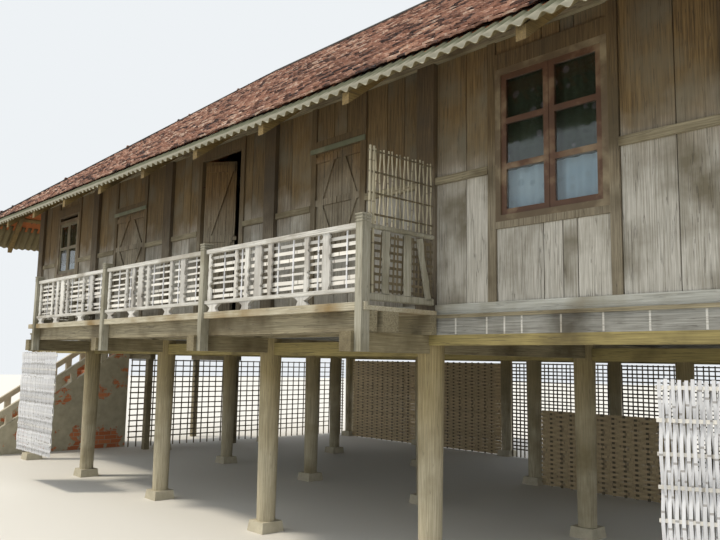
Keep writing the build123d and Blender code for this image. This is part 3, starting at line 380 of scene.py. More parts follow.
def bamboo(name, grain, light, dark, rough=0.55):
    """Split or whole bamboo with its grain along one axis, ringed at its joints."""
    finish, tree, shader, place = start_finish(name, rough)
    tone = add_node(tree, "Attribute", {}, attribute_name="tone").outputs["Fac"]
    fibre_scale = grain_scale(grain, bamboo_fibre_width, bamboo_fibre_length)
    fibre_place = add_node(tree, "Mapping", {"Vector": place, "Scale": fibre_scale}).outputs[0]
    fibre = add_node(tree, "TexNoise", {"Vector": fibre_place, "Scale": 1.0, "Detail": 4.0}).outputs[0]
    body = add_node(tree, "Mix", {0: fibre, 6: paint(dark), 7: paint(light)}, data_type="RGBA").outputs[2]
    along = add_node(tree, "SeparateXYZ", {0: place}).outputs["XYZ".index(grain)]
    turns = add_node(tree, "Math", {0: along, 1: 1 / ring_spacing, 2: tone},
                     operation="MULTIPLY_ADD").outputs[0]
    part = add_node(tree, "Math", {0: turns}, operation="FRACT").outputs[0]
    ring = add_node(tree, "Math", {0: part, 1: 0.5, 2: ring_half}, operation="COMPARE").outputs[0]
    ringed = add_node(tree, "Math", {0: ring, 1: ring_strength}, operation="MULTIPLY").outputs[0]
    body = add_node(tree, "Mix", {0: ringed, 6: body, 7: paint("#5d5140")}, data_type="RGBA").outputs[2]
    shade = add_node(tree, "MapRange", {0: tone, 3: strip_darkest, 4: strip_lightest}).outputs[0]
    body = add_node(tree, "HueSaturation", {"Color": body, "Value": shade}).outputs[0]
    end_finish(tree, shader, body, fibre, 0.3, 0.001)
    return finish


def worn_paint(name, light, dark, bare, rough=0.6, bare_end=None):
    """Old oil paint, worn to the wood in patches. Left of the bare end's X only its grey wood is left."""
    finish, tree, shader, place = start_finish(name, rough)
    slow = add_node(tree, "TexNoise", {"Vector": place, "Scale": wear_per_metre, "Detail": 6.0}).outputs[0]
    body = add_node(tree, "Mix", {0: slow, 6: paint(dark), 7: paint(light)}, data_type="RGBA").outputs[2]
    worn = add_node(tree, "MapRange", {0: slow, 1: wear_starts, 2: wear_full}).outputs[0]
    body = add_node(tree, "Mix", {0: worn, 6: body, 7: paint(bare)}, data_type="RGBA").outputs[2]
    if bare_end:
        along = add_node(tree, "SeparateXYZ", {0: place}).outputs[0]
        past = add_node(tree, "Math", {0: along, 1: bare_end[0]}, operation="LESS_THAN").outputs[0]
        grey = add_node(tree, "Mix", {0: slow, 6: paint(bare_end[2]), 7: paint(bare_end[1])},
                        data_type="RGBA")
        body = add_node(tree, "Mix", {0: past, 6: body, 7: grey.outputs[2]}, data_type="RGBA").outputs[2]
    end_finish(tree, shader, body, slow, 0.4, 0.002)
    return finish


pale_bamboo = bamboo("bleached_split_bamboo", "Z", "#e6e8ec", "#bdbcbb")
pale_rails = bamboo("bleached_bamboo_rails", "X", "#ecebe5", "#c4bdb0")
old_bamboo = bamboo("old_bamboo_canes", "Z", "#7d7157", "#4c4434")
old_rails = bamboo("old_bamboo_rails", "X", "#7f745a", "#4f4736")
screen_bamboo = bamboo("grey_screen_sticks", "Z", "#c9c2a8", "#8d8468")
wattle_bamboo = bamboo("woven_wall_strips", "X", "#d0bd97", "#93805e")
brown_paint = worn_paint("worn_brown_paint", "#6b4a34", "#3e2b1e", "#8c7a60",
                         bare_end=(left_window_end, "#857c62", "#4f4836"))
frame_paint = worn_paint("worn_frame_paint", "#75664d", "#4e402e", "#92866b")
green_paint = worn_paint("faded_green_paint", "#7a7e68", "#545a45", "#86826c")
rusty_iron, rust_tree, rust_shader, rust_place = start_finish("rusty_iron", 0.75)
rust_noise = add_node(rust_tree, "TexNoise", {"Vector": rust_place, "Scale": rust_per_metre,
                                              "Detail": 5.0}).outputs[0]
rust_mix = add_node(rust_tree, "Mix", {0: rust_noise, 6: paint("#2f2621"), 7: paint("#6b4028")},
                    data_type="RGBA")
rust_tree.links.new(rust_mix.outputs[2], rust_shader.inputs["Base Color"])
rust_shader.inputs["Metallic"].default_value = 0.4
print("bamboo, paint and iron made")

# %% [markdown]
# Window glass is a 4 mm float pane. It needs no colour of its own: it shows what is behind it and
# mirrors the sky at a slant. Dust only makes it a little duller, in patches of 250 mm, through the
# roughness.

# %% Window glass
dust_per_metre = 4.0
clean_roughness, dusty_roughness = 0.01, 0.10
pane_glass, pane_tree, pane_shader, pane_place = start_finish("float_glass", 0.03)
pane_shader.inputs["Base Color"].default_value = paint("#e9f2f2")
pane_shader.inputs["Transmission Weight"].default_value = 1.0
pane_shader.inputs["IOR"].default_value = 1.5
dust = add_node(pane_tree, "TexNoise", {"Vector": pane_place, "Scale": dust_per_metre,
                                        "Detail": 4.0}).outputs[0]
dullness = add_node(pane_tree, "MapRange", {0: dust, 1: 0.3, 2: 0.7,
                                            3: clean_roughness, 4: dusty_roughness}).outputs[0]
pane_tree.links.new(dullness, pane_shader.inputs["Roughness"])
print("window glass made")

# %% [markdown]
# ## Building pieces
# Boards, tiles and canes are all small shapes laid many times. A Pile gathers copies of such shapes
# into one bmesh and remembers a tone for each copy. At the end it becomes one object, which rides on
# a body of the CAD and may stand for a CAD node. Most shapes are made flat on the ground and then
# turned by 90 degrees about one axis.

# %% Helpers for the pieces
stand_up = Matrix.Rotation(math.radians(90), 4, "X")
lay_down = Matrix.Rotation(math.radians(90), 4, "Y")
quarter_turn = Matrix.Rotation(math.radians(90), 4, "Z")


def either_way(amount):
    """A random amount, to one side or the other."""
    return chance.uniform(-amount, amount)


def kept(shape):
    """A small bmesh as a mesh that can be laid many times."""
    mesh = bpy.data.meshes.new("stock")
    shape.to_mesh(mesh)
    shape.free()
    return mesh


def finished(name, shape, finish, body="house", stands_for=(), smooth=False):
    """A bmesh as a piece of the house."""
    mesh = bpy.data.meshes.new(name)
    shape.to_mesh(mesh)
    shape.free()
    mesh.materials.append(finish)
    if smooth:
        mesh.shade_smooth()
    piece = bpy.data.objects.new(name, mesh)
    scene.collection.objects.link(piece)
    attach(piece, body)
    if stands_for:
        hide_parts(*stands_for)
    mesh.calc_loop_triangles()
    print(name, len(mesh.loop_triangles), "triangles")
    return piece


class Pile:
    """Copies of small shapes, gathered into one mesh, each with a tone of its own."""

    def __init__(self):
        self.shape = bmesh.new()
        self.tones = []

    def add(self, part, place, tone=None):
        """Lay one copy of a mesh at a place."""
        laid = part.copy()
        laid.transform(place)
        self.shape.from_mesh(laid, face_normals=False, vertex_normals=False)
        self.tones += [chance.random() if tone is None else tone] * len(laid.vertices)
        bpy.data.meshes.remove(laid)

    def box(self, low, high, ease=0.0, tone=None):
        """A straight board or bar between two corners, its edges eased."""
        low, high = Vector(low), Vector(high)
        part = bar(high - low, ease)
        self.add(part, Matrix.Translation((low + high) / 2), tone)
        bpy.data.meshes.remove(part)

    def settled(self):
        """The gathered bmesh, its tones written on the vertices."""
        layer = self.shape.verts.layers.float.new("tone")
        for vertex, tone in zip(self.shape.verts, self.tones):
            vertex[layer] = tone
        self.shape.normal_update()
        return self.shape


def bar(size, ease=0.0):
    """A bar about its own middle."""
    shape = bmesh.new()
    bmesh.ops.create_cube(shape, size=1, matrix=Matrix.Diagonal((*size, 1)))
    if ease:
        bmesh.ops.bevel(shape, geom=shape.edges[:], offset=ease, offset_type="OFFSET", segments=1,
                        profile=0.5, affect="EDGES", material=-1)
    return kept(shape)


def solids(name):
    """The boxes of a CAD node's separate solids, found by walking from face to face, always in one order."""
    shape = bmesh.new()
    shape.from_mesh(nodes[name].data)
    bmesh.ops.remove_doubles(shape, verts=shape.verts[:], dist=1e-5)
    unseen, boxes = set(shape.verts), []
    while unseen:
        front_line, island = [unseen.pop()], []
        while front_line:
            vertex = front_line.pop()
            island.append(vertex.co.copy())
            for edge in vertex.link_edges:
                other = edge.other_vert(vertex)
                if other in unseen:
                    unseen.remove(other)
                    front_line.append(other)
        boxes.append((Vector([min(c[i] for c in island) for i in range(3)]),
                      Vector([max(c[i] for c in island) for i in range(3)])))
    shape.free()
    return sorted(boxes, key=lambda corners: corners[0][:])


print("piece helpers ready")

# %% [markdown]
# ## The plan
# These few lengths, in metres, are the house's own: columns along the front, rows into the house, and
# the roof's eave, ridge and hips. Everything below is laid out from them.

# %% Lengths of the house
column_x = [-5.375, -3.275, -1.175, 0.925, 3.025, 5.375]
row_y = [-3.375, -1.125, 1.125, 3.375]
front, back = row_y[0], row_y[-1]
eave_height, ridge_height = 3.570, 6.930
roof_half_length, roof_half_depth, ridge_setback = 7.275, 4.375, 3.390
rise = ridge_height - eave_height
tile_start = 0.300
tile_layer = 0.050
sheet_length = 0.370


def slope_frame(eave_middle, along, inwards, half, depth):
    """A slope's own frame: X along the eave, Y up the slope and Z out of it, with its sizes."""
    angle = math.atan2(rise, depth)
    upslope = Vector(inwards) * math.cos(angle) + Vector((0, 0, math.sin(angle)))
    along = Vector(along)
    turn = Matrix((along, upslope, along.cross(upslope))).transposed().to_4x4()
    return {"matrix": Matrix.Translation((*eave_middle, eave_height)) @ turn, "half": half, "depth": depth,
            "cosine": math.cos(angle), "taper": (roof_half_depth + ridge_setback - depth) / depth}


slopes = {
    "front": slope_frame((0, -roof_half_depth), (1, 0, 0), (0, 1, 0), roof_half_length, roof_half_depth),
    "back": slope_frame((0, roof_half_depth), (-1, 0, 0), (0, -1, 0), roof_half_length, roof_half_depth),
    "left": slope_frame((-roof_half_length, 0), (0, -1, 0), (1, 0, 0), roof_half_depth, ridge_setback),
    "right": slope_frame((roof_half_length, 0), (0, 1, 0), (-1, 0, 0), roof_half_depth, ridge_setback),
}
print("slopes:", {name: round(s["taper"], 3) for name, s in slopes.items()})

# %% [markdown]
# ## Roof tiles
# The real tiles are about 100 by 230 mm and hand moulded, a little arched, laid in courses that show
# 150 mm of each, every second course shifted by half a tile, and none quite in line. Each lower end
# rests on the course below, so a tile lies flatter than the roof and its thick end casts a shadow. A
# texture could fake this from afar, but the lowest course is seen from close by, against the sky, so
# every tile is a real shape, laid from four stock shapes with different chips. Under them lies a thin
# bed, which stands for the undersides that the eye meets from below.

# %% Lay the tiles
tile_width, tile_length, tile_thickness = 0.100, 0.230, 0.015
tile_arch = 0.006
tile_chip = 0.018
tile_pitch = 0.104
tile_exposure = 0.150
tile_lift = 0.031
bed_thickness = 0.004
sideways_play, course_play, lift_play = 0.006, 0.012, 0.004
turn_play, lower_play, raise_play = 0.06, 0.03, 0.01


def stock_tile(seed):
    """An arched tile about its own middle, its lower edge chipped."""
    wear = random.Random(seed)
    shape = bmesh.new()
    bmesh.ops.create_grid(shape, x_segments=3, y_segments=1, size=0.5,
                          matrix=Matrix.Diagonal((tile_width, tile_length, 1, 1)))
    for vertex in shape.verts:
        vertex.co.z -= tile_arch * (2 * vertex.co.x / tile_width) ** 2
        if vertex.co.y < 0:
            vertex.co.y += wear.uniform(0, tile_chip)
    bmesh.ops.solidify(shape, geom=shape.faces[:], thickness=tile_thickness)
    bmesh.ops.recalc_face_normals(shape, faces=shape.faces[:])
    return kept(shape)


tile_stock = [stock_tile(seed) for seed in range(4)]


def tile_bed(slope, name):
    """A thin sheet under the tiles of one slope."""
    bottom = -tile_layer * slope["cosine"]
    shape = bmesh.new()
    corners = []
    for run, hand in ((tile_start, -1), (tile_start, 1), (slope["depth"], 1), (slope["depth"], -1)):
        half = slope["half"] - run * slope["taper"]
        corners.append(shape.verts.new((hand * half, run / slope["cosine"], bottom + bed_thickness)))
    top = shape.faces.new(corners)
    lower = bmesh.ops.extrude_face_region(shape, geom=[top])["geom"]
    moved = [part for part in lower if isinstance(part, bmesh.types.BMVert)]
    bmesh.ops.translate(shape, verts=moved, vec=(0, 0, -bed_thickness))
    bmesh.ops.recalc_face_normals(shape, faces=shape.faces[:])
    bmesh.ops.transform(shape, matrix=slope["matrix"], verts=shape.verts[:])
    return finished(f"tile_bed_{name}", shape, under_clay)


def lay_tiles(slope, name):
    """Courses of tiles on one slope, from the eave to the ridge."""
    pile = Pile()
    bed = -tile_layer * slope["cosine"] + bed_thickness
    tilt = math.atan2(tile_lift, tile_length)
    middle_height = bed + tile_lift / 2 + tile_thickness / 2 + tile_arch
    top = slope["depth"] / slope["cosine"]
    course = 0
    edge = tile_start / slope["cosine"]
    while edge + tile_length < top:
        run = (edge + tile_length / 2) * slope["cosine"]
        reach = slope["half"] - run * slope["taper"] - tile_pitch / 2
        count = int(reach / tile_pitch)
        for k in range(-count, count + 1):
            x = (k + 0.5 * (course % 2)) * tile_pitch + either_way(sideways_play)
            if abs(x) > reach:
                continue
            place = Matrix.Translation((x, edge + tile_length / 2 + either_way(course_play),
                                        middle_height + chance.uniform(0, lift_play)))
            turn = Matrix.Rotation(-tilt + chance.uniform(-lower_play, raise_play), 4, "X")
            skew = Matrix.Rotation(either_way(turn_play), 4, "Z")
            rock = Matrix.Rotation(either_way(turn_play), 4, "Y")
            pile.add(chance.choice(tile_stock), slope["matrix"] @ place @ skew @ turn @ rock)
        course += 1
        edge += tile_exposure
    return finished(f"tiles_{name}", pile.settled(), tile_clay)


for side_name, side in slopes.items():
    tile_bed(side, side_name)
    lay_tiles(side, side_name)
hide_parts("roof_tiles")

# %% [markdown]
# ## Corrugated sheets along the eave
# Sheets of fibre cement stick out under the first course, with a wave every 106 mm and an edge that is
# no longer straight. A fine grid is pushed up and down as a sine, cut along the two hips, and given its
# thickness at the end.

# %% Corrugated sheets
wave_pitch = 0.106
wave_height = 0.031
sheet_thickness = 0.005
sheet_width = 0.85
sheet_middle = -0.052
sheet_lap = 0.003
points_per_wave = 8
edge_wear, edge_bow, bow_rate = 0.012, 0.006, 11.0


def corrugated(slope, name):
    """The sheets of one slope, with a worn lower edge."""
    shape = bmesh.new()
    length = sheet_length / slope["cosine"]
    across = points_per_wave * int(2 * slope["half"] / wave_pitch)
    size = Matrix.Diagonal((2 * slope["half"], length, 1, 1))
    bmesh.ops.create_grid(shape, x_segments=across, y_segments=3, size=0.5,
                          matrix=Matrix.Translation((0, length / 2, 0)) @ size)
    for vertex in shape.verts:
        sheet = math.floor(vertex.co.x / sheet_width)
        uneven = random.Random(sheet + len(name)).uniform(0.0, edge_wear)
        wave = math.sin(2 * math.pi * vertex.co.x / wave_pitch)
        vertex.co.z = (sheet_middle + (sheet % 2) * sheet_lap) * slope["cosine"] + wave * wave_height / 2
        if vertex.co.y < length / 6:
            vertex.co.y += edge_wear + uneven + edge_bow * math.sin(bow_rate * vertex.co.x)
    for hand in (-1, 1):
        bmesh.ops.bisect_plane(shape, geom=shape.verts[:] + shape.edges[:] + shape.faces[:], dist=1e-6,
                               plane_co=(hand * slope["half"], 0, 0),
                               plane_no=(hand / slope["cosine"], slope["taper"], 0), clear_outer=True)
    bmesh.ops.solidify(shape, geom=shape.faces[:], thickness=sheet_thickness)
    bmesh.ops.recalc_face_normals(shape, faces=shape.faces[:])
    bmesh.ops.transform(shape, matrix=slope["matrix"], verts=shape.verts[:])
    return finished(f"eave_sheet_{name}", shape, sheet_moss, smooth=True)


sheet_sides = [corrugated(side, side_name) for side_name, side in slopes.items()]
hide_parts("eave_sheets")

# %% [markdown]
# ## Wall boards
# Each bay of the wall is a panel of upright boards between 150 and 290 mm wide, butted edge to edge.
# The CAD has one solid for each panel, so its own boxes say where boards go. Uneven widths, a gap of a
# few millimetres and a slight step from board to board give the joints that a flat panel lacks. In
# four panels of the front the joints lie where the real ones do.

# %% Boards of the four walls
board_gap = 0.006
board_step = 0.004
board_ease = 0.002
narrowest, widest = 0.15, 0.29
short_panel = 1.0
known_joints = [(0.565,), (3.410,), (4.081, 4.229, 4.339), (5.010,)]


def cut_widths(start, end):
    """Edges of boards of uneven width between two ends, or the joints seen on the real wall."""
    for joints in known_joints:
        if all(start < joint < end for joint in joints) and end - start < short_panel:
            return [start, *joints, end]
    edges = [start]
    while end - edges[-1] > widest:
        edges.append(edges[-1] + chance.uniform(narrowest, widest))
    if end - edges[-1] > narrowest * 0.5:
        edges.append(end)
    edges[-1] = end
    return edges


def board_panel(pile, low, high, axis):
    """Fill a panel's box with boards side by side along one axis."""
    edges = cut_widths(low[axis], high[axis])
    out = 1 - axis
    outward = 1 if low[out] > 0 else -1
    for start, end in zip(edges[:-1], edges[1:]):
        corner, far = low.copy(), high.copy()
        corner[axis], far[axis] = start + board_gap / 2, end - board_gap / 2
        step = chance.uniform(0.0, board_step)
        if outward > 0:
            far[out] -= step
        else:
            corner[out] += step
        pile.box(corner, far, ease=board_ease)


def dress_wall(node, axis):
    """Boards in every panel of a CAD node."""
    pile = Pile()
    for low, high in solids(node):
        board_panel(pile, low, high, axis)
    return pile.settled()


finished("front_boards", dress_wall("front_wall_boards", 0), wall_timber,
         stands_for=["front_wall_boards"])
finished("back_boards", dress_wall("back_wall_boards", 0), wall_timber,
         stands_for=["back_wall_boards"])

# %% [markdown]
# The boards of the end walls run up to the sloping rafters. They are made too tall, cut by the plane of
# the rafters' undersides, and the open ends that the cut leaves are filled.

# %% End walls, cut to the rafters
rafter_underside = 0.1605
front_slope = rise / roof_half_depth
end_shape = dress_wall("end_wall_boards", 1)
for hand in (-1, 1):
    everything = end_shape.verts[:] + end_shape.edges[:] + end_shape.faces[:]
    cut = bmesh.ops.bisect_plane(end_shape, geom=everything, dist=1e-6, clear_outer=True,
                                 plane_co=(0, hand * roof_half_depth, eave_height - rafter_underside),
                                 plane_no=(0, hand * front_slope, 1))
    open_edges = [part for part in cut["geom_cut"] if isinstance(part, bmesh.types.BMEdge)]
    bmesh.ops.holes_fill(end_shape, edges=open_edges, sides=0)
finished("end_boards", end_shape, wall_timber, stands_for=["end_wall_boards"])

# %% [markdown]
# ## Finishes on the CAD's own solids
# Posts, beams, frames and stair keep the CAD's shape. Each only gets the finish whose grain runs the
# way its timber was cut.

# %% Give the CAD nodes their finishes
finishes = {
    footing_cement: ["post_footings", "stair_rails"],
    post_timber: ["ground_posts"],
    long_timber: ["ledge_boards", "porch_beams", "wall_plates", "purlin_frame", "ridge_frame", "wall_battens",
                  "landing"],
    girder_timber: ["floor_girders"],
    tie_timber: ["tie_rails"],
    deep_timber: ["cross_beams", "floor_joists", "tie_beams"],
    dark_timber: ["rafters", "hip_rafters", "roof_battens"],
    upright_timber: ["wall_posts"],
    jamb_timber: ["jambs_and_lintels"],
    sill_timber: ["sill_boards", "floor_boards"],
    deck_timber: ["porch_deck"],
    leaf_timber: ["shutters", "door_leaf", "fixed_doors"],
    frame_paint: ["window_frames"],
    brown_paint: ["window_sashes"],
    pane_glass: ["window_glass"],
    rusty_iron: ["door_straps", "door_pintles"],
    cap_clay: ["roof_caps"],
    brick_render: ["stair_steps", "stair_sides"],
}
for finish, names in finishes.items():
    for node_name in names:
        nodes[node_name].data.materials.clear()
        nodes[node_name].data.materials.append(finish)
print("finishes on", sum(len(names) for names in finishes.values()), "CAD nodes")

# %% [markdown]
# ## Bamboo lattice
# A lattice panel is split bamboo: cross laths every 178 mm, and a broad and a narrow upright every 34 mm.
# The broad ones pass in front of one cross lath and behind the next, the narrow ones the other way
# round, and both zigzag a little sideways, which gives the panel its restless look. One lath is a thin
# grid bent as a cosine; it is then laid many times.

# %% Woven panels
lath_spacing = 0.034
lath_thickness = 0.003
lath_sway = 0.007
broad_width, narrow_width = 0.019, 0.012
broad_lean, narrow_lean = -0.003, 0.005
narrow_short, narrow_place = 0.012, 0.52
broad_tones, narrow_tones = (0.5, 1.0), (0.0, 0.45)
lath_front = 0.001
cross_spacing = 0.178
cross_thickness, cross_height, cross_overlap = 0.004, 0.022, 0.02
head_margin, foot_margin, side_margin, last_gap = 0.036, 0.03, 0.012, 0.03


def swaying_lath(length, width, thickness, spacing, sway, lean=0.0, first=0.0, rows=4):
    """A lath along Z that sways in Y and leans in X, furthest out at each cross piece from the first on."""
    shape = bmesh.new()
    count = max(2, int(length / spacing * rows))
    size = Matrix.Diagonal((width, length, 1, 1))
    stand = stand_up @ Matrix.Translation((0, length / 2, 0))
    bmesh.ops.create_grid(shape, x_segments=1, y_segments=count, size=0.5, matrix=stand @ size)
    for vertex in shape.verts:
        swing = math.cos(math.pi * (vertex.co.z - first) / spacing)
        vertex.co.y += sway * swing
        vertex.co.x += lean * swing
    bmesh.ops.solidify(shape, geom=shape.faces[:], thickness=thickness)
    bmesh.ops.recalc_face_normals(shape, faces=shape.faces[:])
    return kept(shape)


def woven_panel(pile, rails, foot, direction, width, bottom, top):
    """Uprights and cross laths of one panel, from its foot along a direction on the ground."""
    turn = Matrix.Rotation(math.atan2(direction[1], direction[0]), 4, "Z")
    base = Matrix.Translation((*foot, bottom)) @ turn
    height = top - bottom
    highest = height - head_margin
    broad = swaying_lath(height, broad_width, lath_thickness, cross_spacing, -lath_sway,
                         lean=broad_lean, first=highest)
    narrow = swaying_lath(height - narrow_short, narrow_width, lath_thickness, cross_spacing, lath_sway,
                          lean=narrow_lean, first=highest)
    for k in range(int(width / lath_spacing)):
        x = side_margin + k * lath_spacing
        lower = Matrix.Translation((x, lath_front, chance.uniform(0.0, 0.010)))
        tip = Matrix.Rotation(either_way(0.001), 4, "Y")
        pile.add(broad, base @ lower @ tip, chance.uniform(*broad_tones))
        if x + last_gap < width:
            beside = Matrix.Translation((x + lath_spacing * narrow_place, lath_front,
                                         chance.uniform(0.0, narrow_short)))
            pile.add(narrow, base @ beside, chance.uniform(*narrow_tones))
    z = highest
    while z > foot_margin:
        cross = bar((width + cross_overlap, cross_thickness, cross_height), 0.001)
        rails.add(cross, base @ Matrix.Translation((width / 2, 0, z + either_way(0.004))))
        z -= cross_spacing


panel_pile, panel_rails = Pile(), Pile()
panel_angle = math.radians(27.3)
panel_direction = (math.cos(panel_angle), math.sin(panel_angle))
woven_panel(panel_pile, panel_rails, (4.978, -3.710), panel_direction, width=1.0, bottom=0.0, top=1.548)
woven_panel(panel_pile, panel_rails, (-3.475, -4.255), (1, 0), width=1.2, bottom=0.40, top=1.665)
panel = finished("panel_uprights", panel_pile.settled(), pale_bamboo)
finished("panel_cross_laths", panel_rails.settled(), pale_rails)
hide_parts("bamboo_panels")

# %% [markdown]
# ## Railing
# The railing is sun-bleached hardwood: flat balusters of uneven width whose edges borers have gnawed,
# set between two rails, with waisted blocks on the deck. A board with a bitten outline is a grid whose
# rows are given their own widths and then a thickness, which costs fewer faces than a boolean cut.
# The bites are deeper in the right-hand edges, as they are in the real ones.

# %% Posts, rails, balusters and blocks
beside_column = 0.0953
rail_posts = [x + beside_column for x in column_x[1:5]]
rail_line = -4.205
post_width, post_depth, post_low, post_top = 0.070, 0.080, 1.690, 2.660
rail_bays = [(left + post_width / 2, right_post - post_width / 2)
             for left, right_post in zip(rail_posts[:-1], rail_posts[1:])]
cap_ring, cap_out = 0.012, 0.005
post_bite = 0.004
top_rail, low_rail, rail_depth = (2.560, 2.600), (2.106, 2.137), 0.045
deck_edge_top = 2.035
baluster_height = top_rail[0] - low_rail[1]
baluster_plan = [(0.060, 0.049), (0.479, 0.050), (0.642, 0.060), (0.806, 0.107), (0.972, 0.060),
                 (1.445, 0.056), (1.675, 0.092)]
stake_plan = (0.266, 0.540, 1.058, 1.254, 1.560, 1.886)
block_plan = (0.125, 0.640, 1.400)
block_widths = [0.150, 0.110, 0.090, 0.140, 0.220]
baluster_thickness, baluster_back = 0.016, 0.004
bite, bite_rows = 0.018, 21
right_bites, left_bites = 1.5, 0.6


def outlined_board(widths, height, thickness, gnawed=0.0):
    """An upright board on the origin. Widths are its breadths at even levels from foot to head."""
    shape = bmesh.new()
    stand = stand_up @ Matrix.Translation((0, height / 2, thickness / 2))
    bmesh.ops.create_grid(shape, x_segments=1, y_segments=len(widths) - 1, size=0.5,
                          matrix=stand @ Matrix.Diagonal((1, height, 1, 1)))
    for vertex in shape.verts:
        vertex.co.x *= widths[round(vertex.co.z / height * (len(widths) - 1))]
        depth = gnawed * chance.random() ** 3 * (right_bites if vertex.co.x > 0 else left_bites)
        vertex.co.x -= math.copysign(depth, vertex.co.x)
    bmesh.ops.solidify(shape, geom=shape.faces[:], thickness=thickness)
    middle = sum(vertex.co.y for vertex in shape.verts) / len(shape.verts)
    bmesh.ops.translate(shape, verts=shape.verts[:], vec=(0, -middle, 0))
    bmesh.ops.recalc_face_normals(shape, faces=shape.faces[:])
    return kept(shape)


posts, rails, balusters = Pile(), Pile(), Pile()
for x in rail_posts:
    post = outlined_board([post_width] * 12, post_top - post_low, post_depth, gnawed=post_bite)
    posts.add(post, Matrix.Translation((x, rail_line, post_low)))
    for k in (0, 2, 4):
        out = cap_out * (1.4 if k == 0 else 1)
        half_x, half_y = post_width / 2 + out, post_depth / 2 + out
        posts.box((x - half_x, rail_line - half_y, post_top - (k + 1) * cap_ring),
                  (x + half_x, rail_line + half_y, post_top - k * cap_ring), ease=0.003)
for start, end in rail_bays:
    for low_z, high_z in (top_rail, low_rail):
        rails.box((start, rail_line - rail_depth / 2, low_z), (end, rail_line + rail_depth / 2, high_z),
                  ease=0.003)
    for offset, breadth in baluster_plan:
        board = outlined_board([breadth] * bite_rows, baluster_height, baluster_thickness, gnawed=bite)
        balusters.add(board, Matrix.Translation((start + offset, rail_line - baluster_back, low_rail[1])))
    for offset in block_plan:
        waisted = outlined_board(block_widths, low_rail[0] - deck_edge_top, rail_depth * 0.7, gnawed=bite)
        balusters.add(waisted, Matrix.Translation((start + offset, rail_line, deck_edge_top)))
print("railing bays:", len(rail_bays), "balusters in each:", len(baluster_plan))

# %% [markdown]
# The two ends of the porch are closed in the same way: two rounded rails, two flat boards, and a third
# that has slipped and leans on the wall.

# %% Ends of the porch
end_start, end_finish = rail_line + post_depth / 2, front - 0.092
end_length = end_finish - end_start
end_top_rail = top_rail[0] + 0.004, top_rail[1] - 0.004
end_low_rail = 2.050, 2.105
end_rail_half, end_rail_ease = 0.020, 0.008
end_board_places = 0.175, 0.400
end_board_width, slipped_width, slipped_length = 0.070, 0.060, 0.475
slipped_foot, slipped_back, slipped_lean = 2.085, 0.062, math.radians(-13)
board_side = 0.012
for x in (rail_posts[0], rail_posts[-1]):
    for low_z, high_z in (end_top_rail, end_low_rail):
        posts.box((x - end_rail_half, end_start, low_z), (x + end_rail_half, end_finish, high_z),
                  ease=end_rail_ease)
    for y in end_board_places:
        board = outlined_board([end_board_width] * 15, top_rail[0] - end_low_rail[1], baluster_thickness,
                               gnawed=bite / 2)
        posts.add(board, Matrix.Translation((x + board_side, end_start + y, end_low_rail[1])) @ quarter_turn)
    slipped = outlined_board([slipped_width] * 8, slipped_length, baluster_thickness, gnawed=bite / 2)
    posts.add(slipped, Matrix.Translation((x + board_side, end_finish - slipped_back, slipped_foot))
              @ quarter_turn @ Matrix.Rotation(slipped_lean, 4, "Y"))
railing = finished("railing_rails", rails.settled(), rail_timber)
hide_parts("porch_railing")
finished("railing_posts", posts.settled(), rail_post_timber)
finished("railing_balusters", balusters.settled(), baluster_timber)

# %% [markdown]
# Behind the balusters run strips of split bamboo, 16 to 32 mm high, woven round thin stakes, none of
# them quite level. At the two ends of the porch the strips and sticks are darker and cross closely.

# %% Woven strips behind the railing
weave_line = rail_line + 0.014
weave_pitch = 0.0576
weave_rows = [2.172 + k * weave_pitch for k in range(7)]
strip_heights = 0.016, 0.032
strip_thickness, strip_swing, strip_bend = 0.004, 0.27, 0.005
strip_tip, strip_play = 0.007, 0.008
rail_stake_width, rail_stake_thickness = 0.016, 0.007
weave, weave_stakes = Pile(), Pile()
for start, end in rail_bays:
    for row, z in enumerate(weave_rows):
        strip = swaying_lath(end - start, chance.uniform(*strip_heights), strip_thickness, strip_swing,
                             strip_bend * (-1) ** row, rows=6)
        tip = Matrix.Rotation(either_way(strip_tip), 4, "Y")
        level = z + either_way(strip_play)
        weave.add(strip, Matrix.Translation((start, weave_line, level)) @ tip @ lay_down)
    for offset in stake_plan:
        stake = outlined_board([rail_stake_width] * 6, baluster_height, rail_stake_thickness,
                               gnawed=post_bite)
        weave_stakes.add(stake, Matrix.Translation((start + offset, weave_line - 0.002, low_rail[1])))

# %% Woven strips at the ends of the porch
end_rows, end_row_pitch, end_row_low = 8, 0.056, 2.13
end_sticks, end_stick_pitch, end_stick_start = 15, 0.046, 0.035
end_strip_height, end_strip_swing, end_strip_bend = 0.020, 0.10, 0.004
end_stick_width, end_stick_length, end_stick_foot, end_stick_thickness = 0.014, 0.44, 2.11, 0.006
end_stick_bite, end_stick_tip = 0.003, 0.05
weave_side = -0.006
end_weave = Pile()
for x in (rail_posts[0], rail_posts[-1]):
    for row in range(end_rows):
        strip = swaying_lath(end_length, end_strip_height, strip_thickness, end_strip_swing,
                             end_strip_bend * (-1) ** row)
        place = Matrix.Translation((x + weave_side, end_start, end_row_low + row * end_row_pitch))
        end_weave.add(strip, place @ quarter_turn @ lay_down)
    for k in range(end_sticks):
        stick = outlined_board([end_stick_width] * 6, end_stick_length, end_stick_thickness,
                               gnawed=end_stick_bite)
        y = end_start + end_stick_start + k * end_stick_pitch
        place = Matrix.Translation((x + weave_side, y, end_stick_foot))
        end_weave.add(stick, place @ quarter_turn @ Matrix.Rotation(either_way(end_stick_tip), 4, "Y"))
weave_piece = finished("railing_weave", weave.settled(), pale_rails)
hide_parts("porch_weave")
finished("railing_stakes", weave_stakes.settled(), pale_bamboo)
finished("porch_end_weave", end_weave.settled(), old_bamboo)

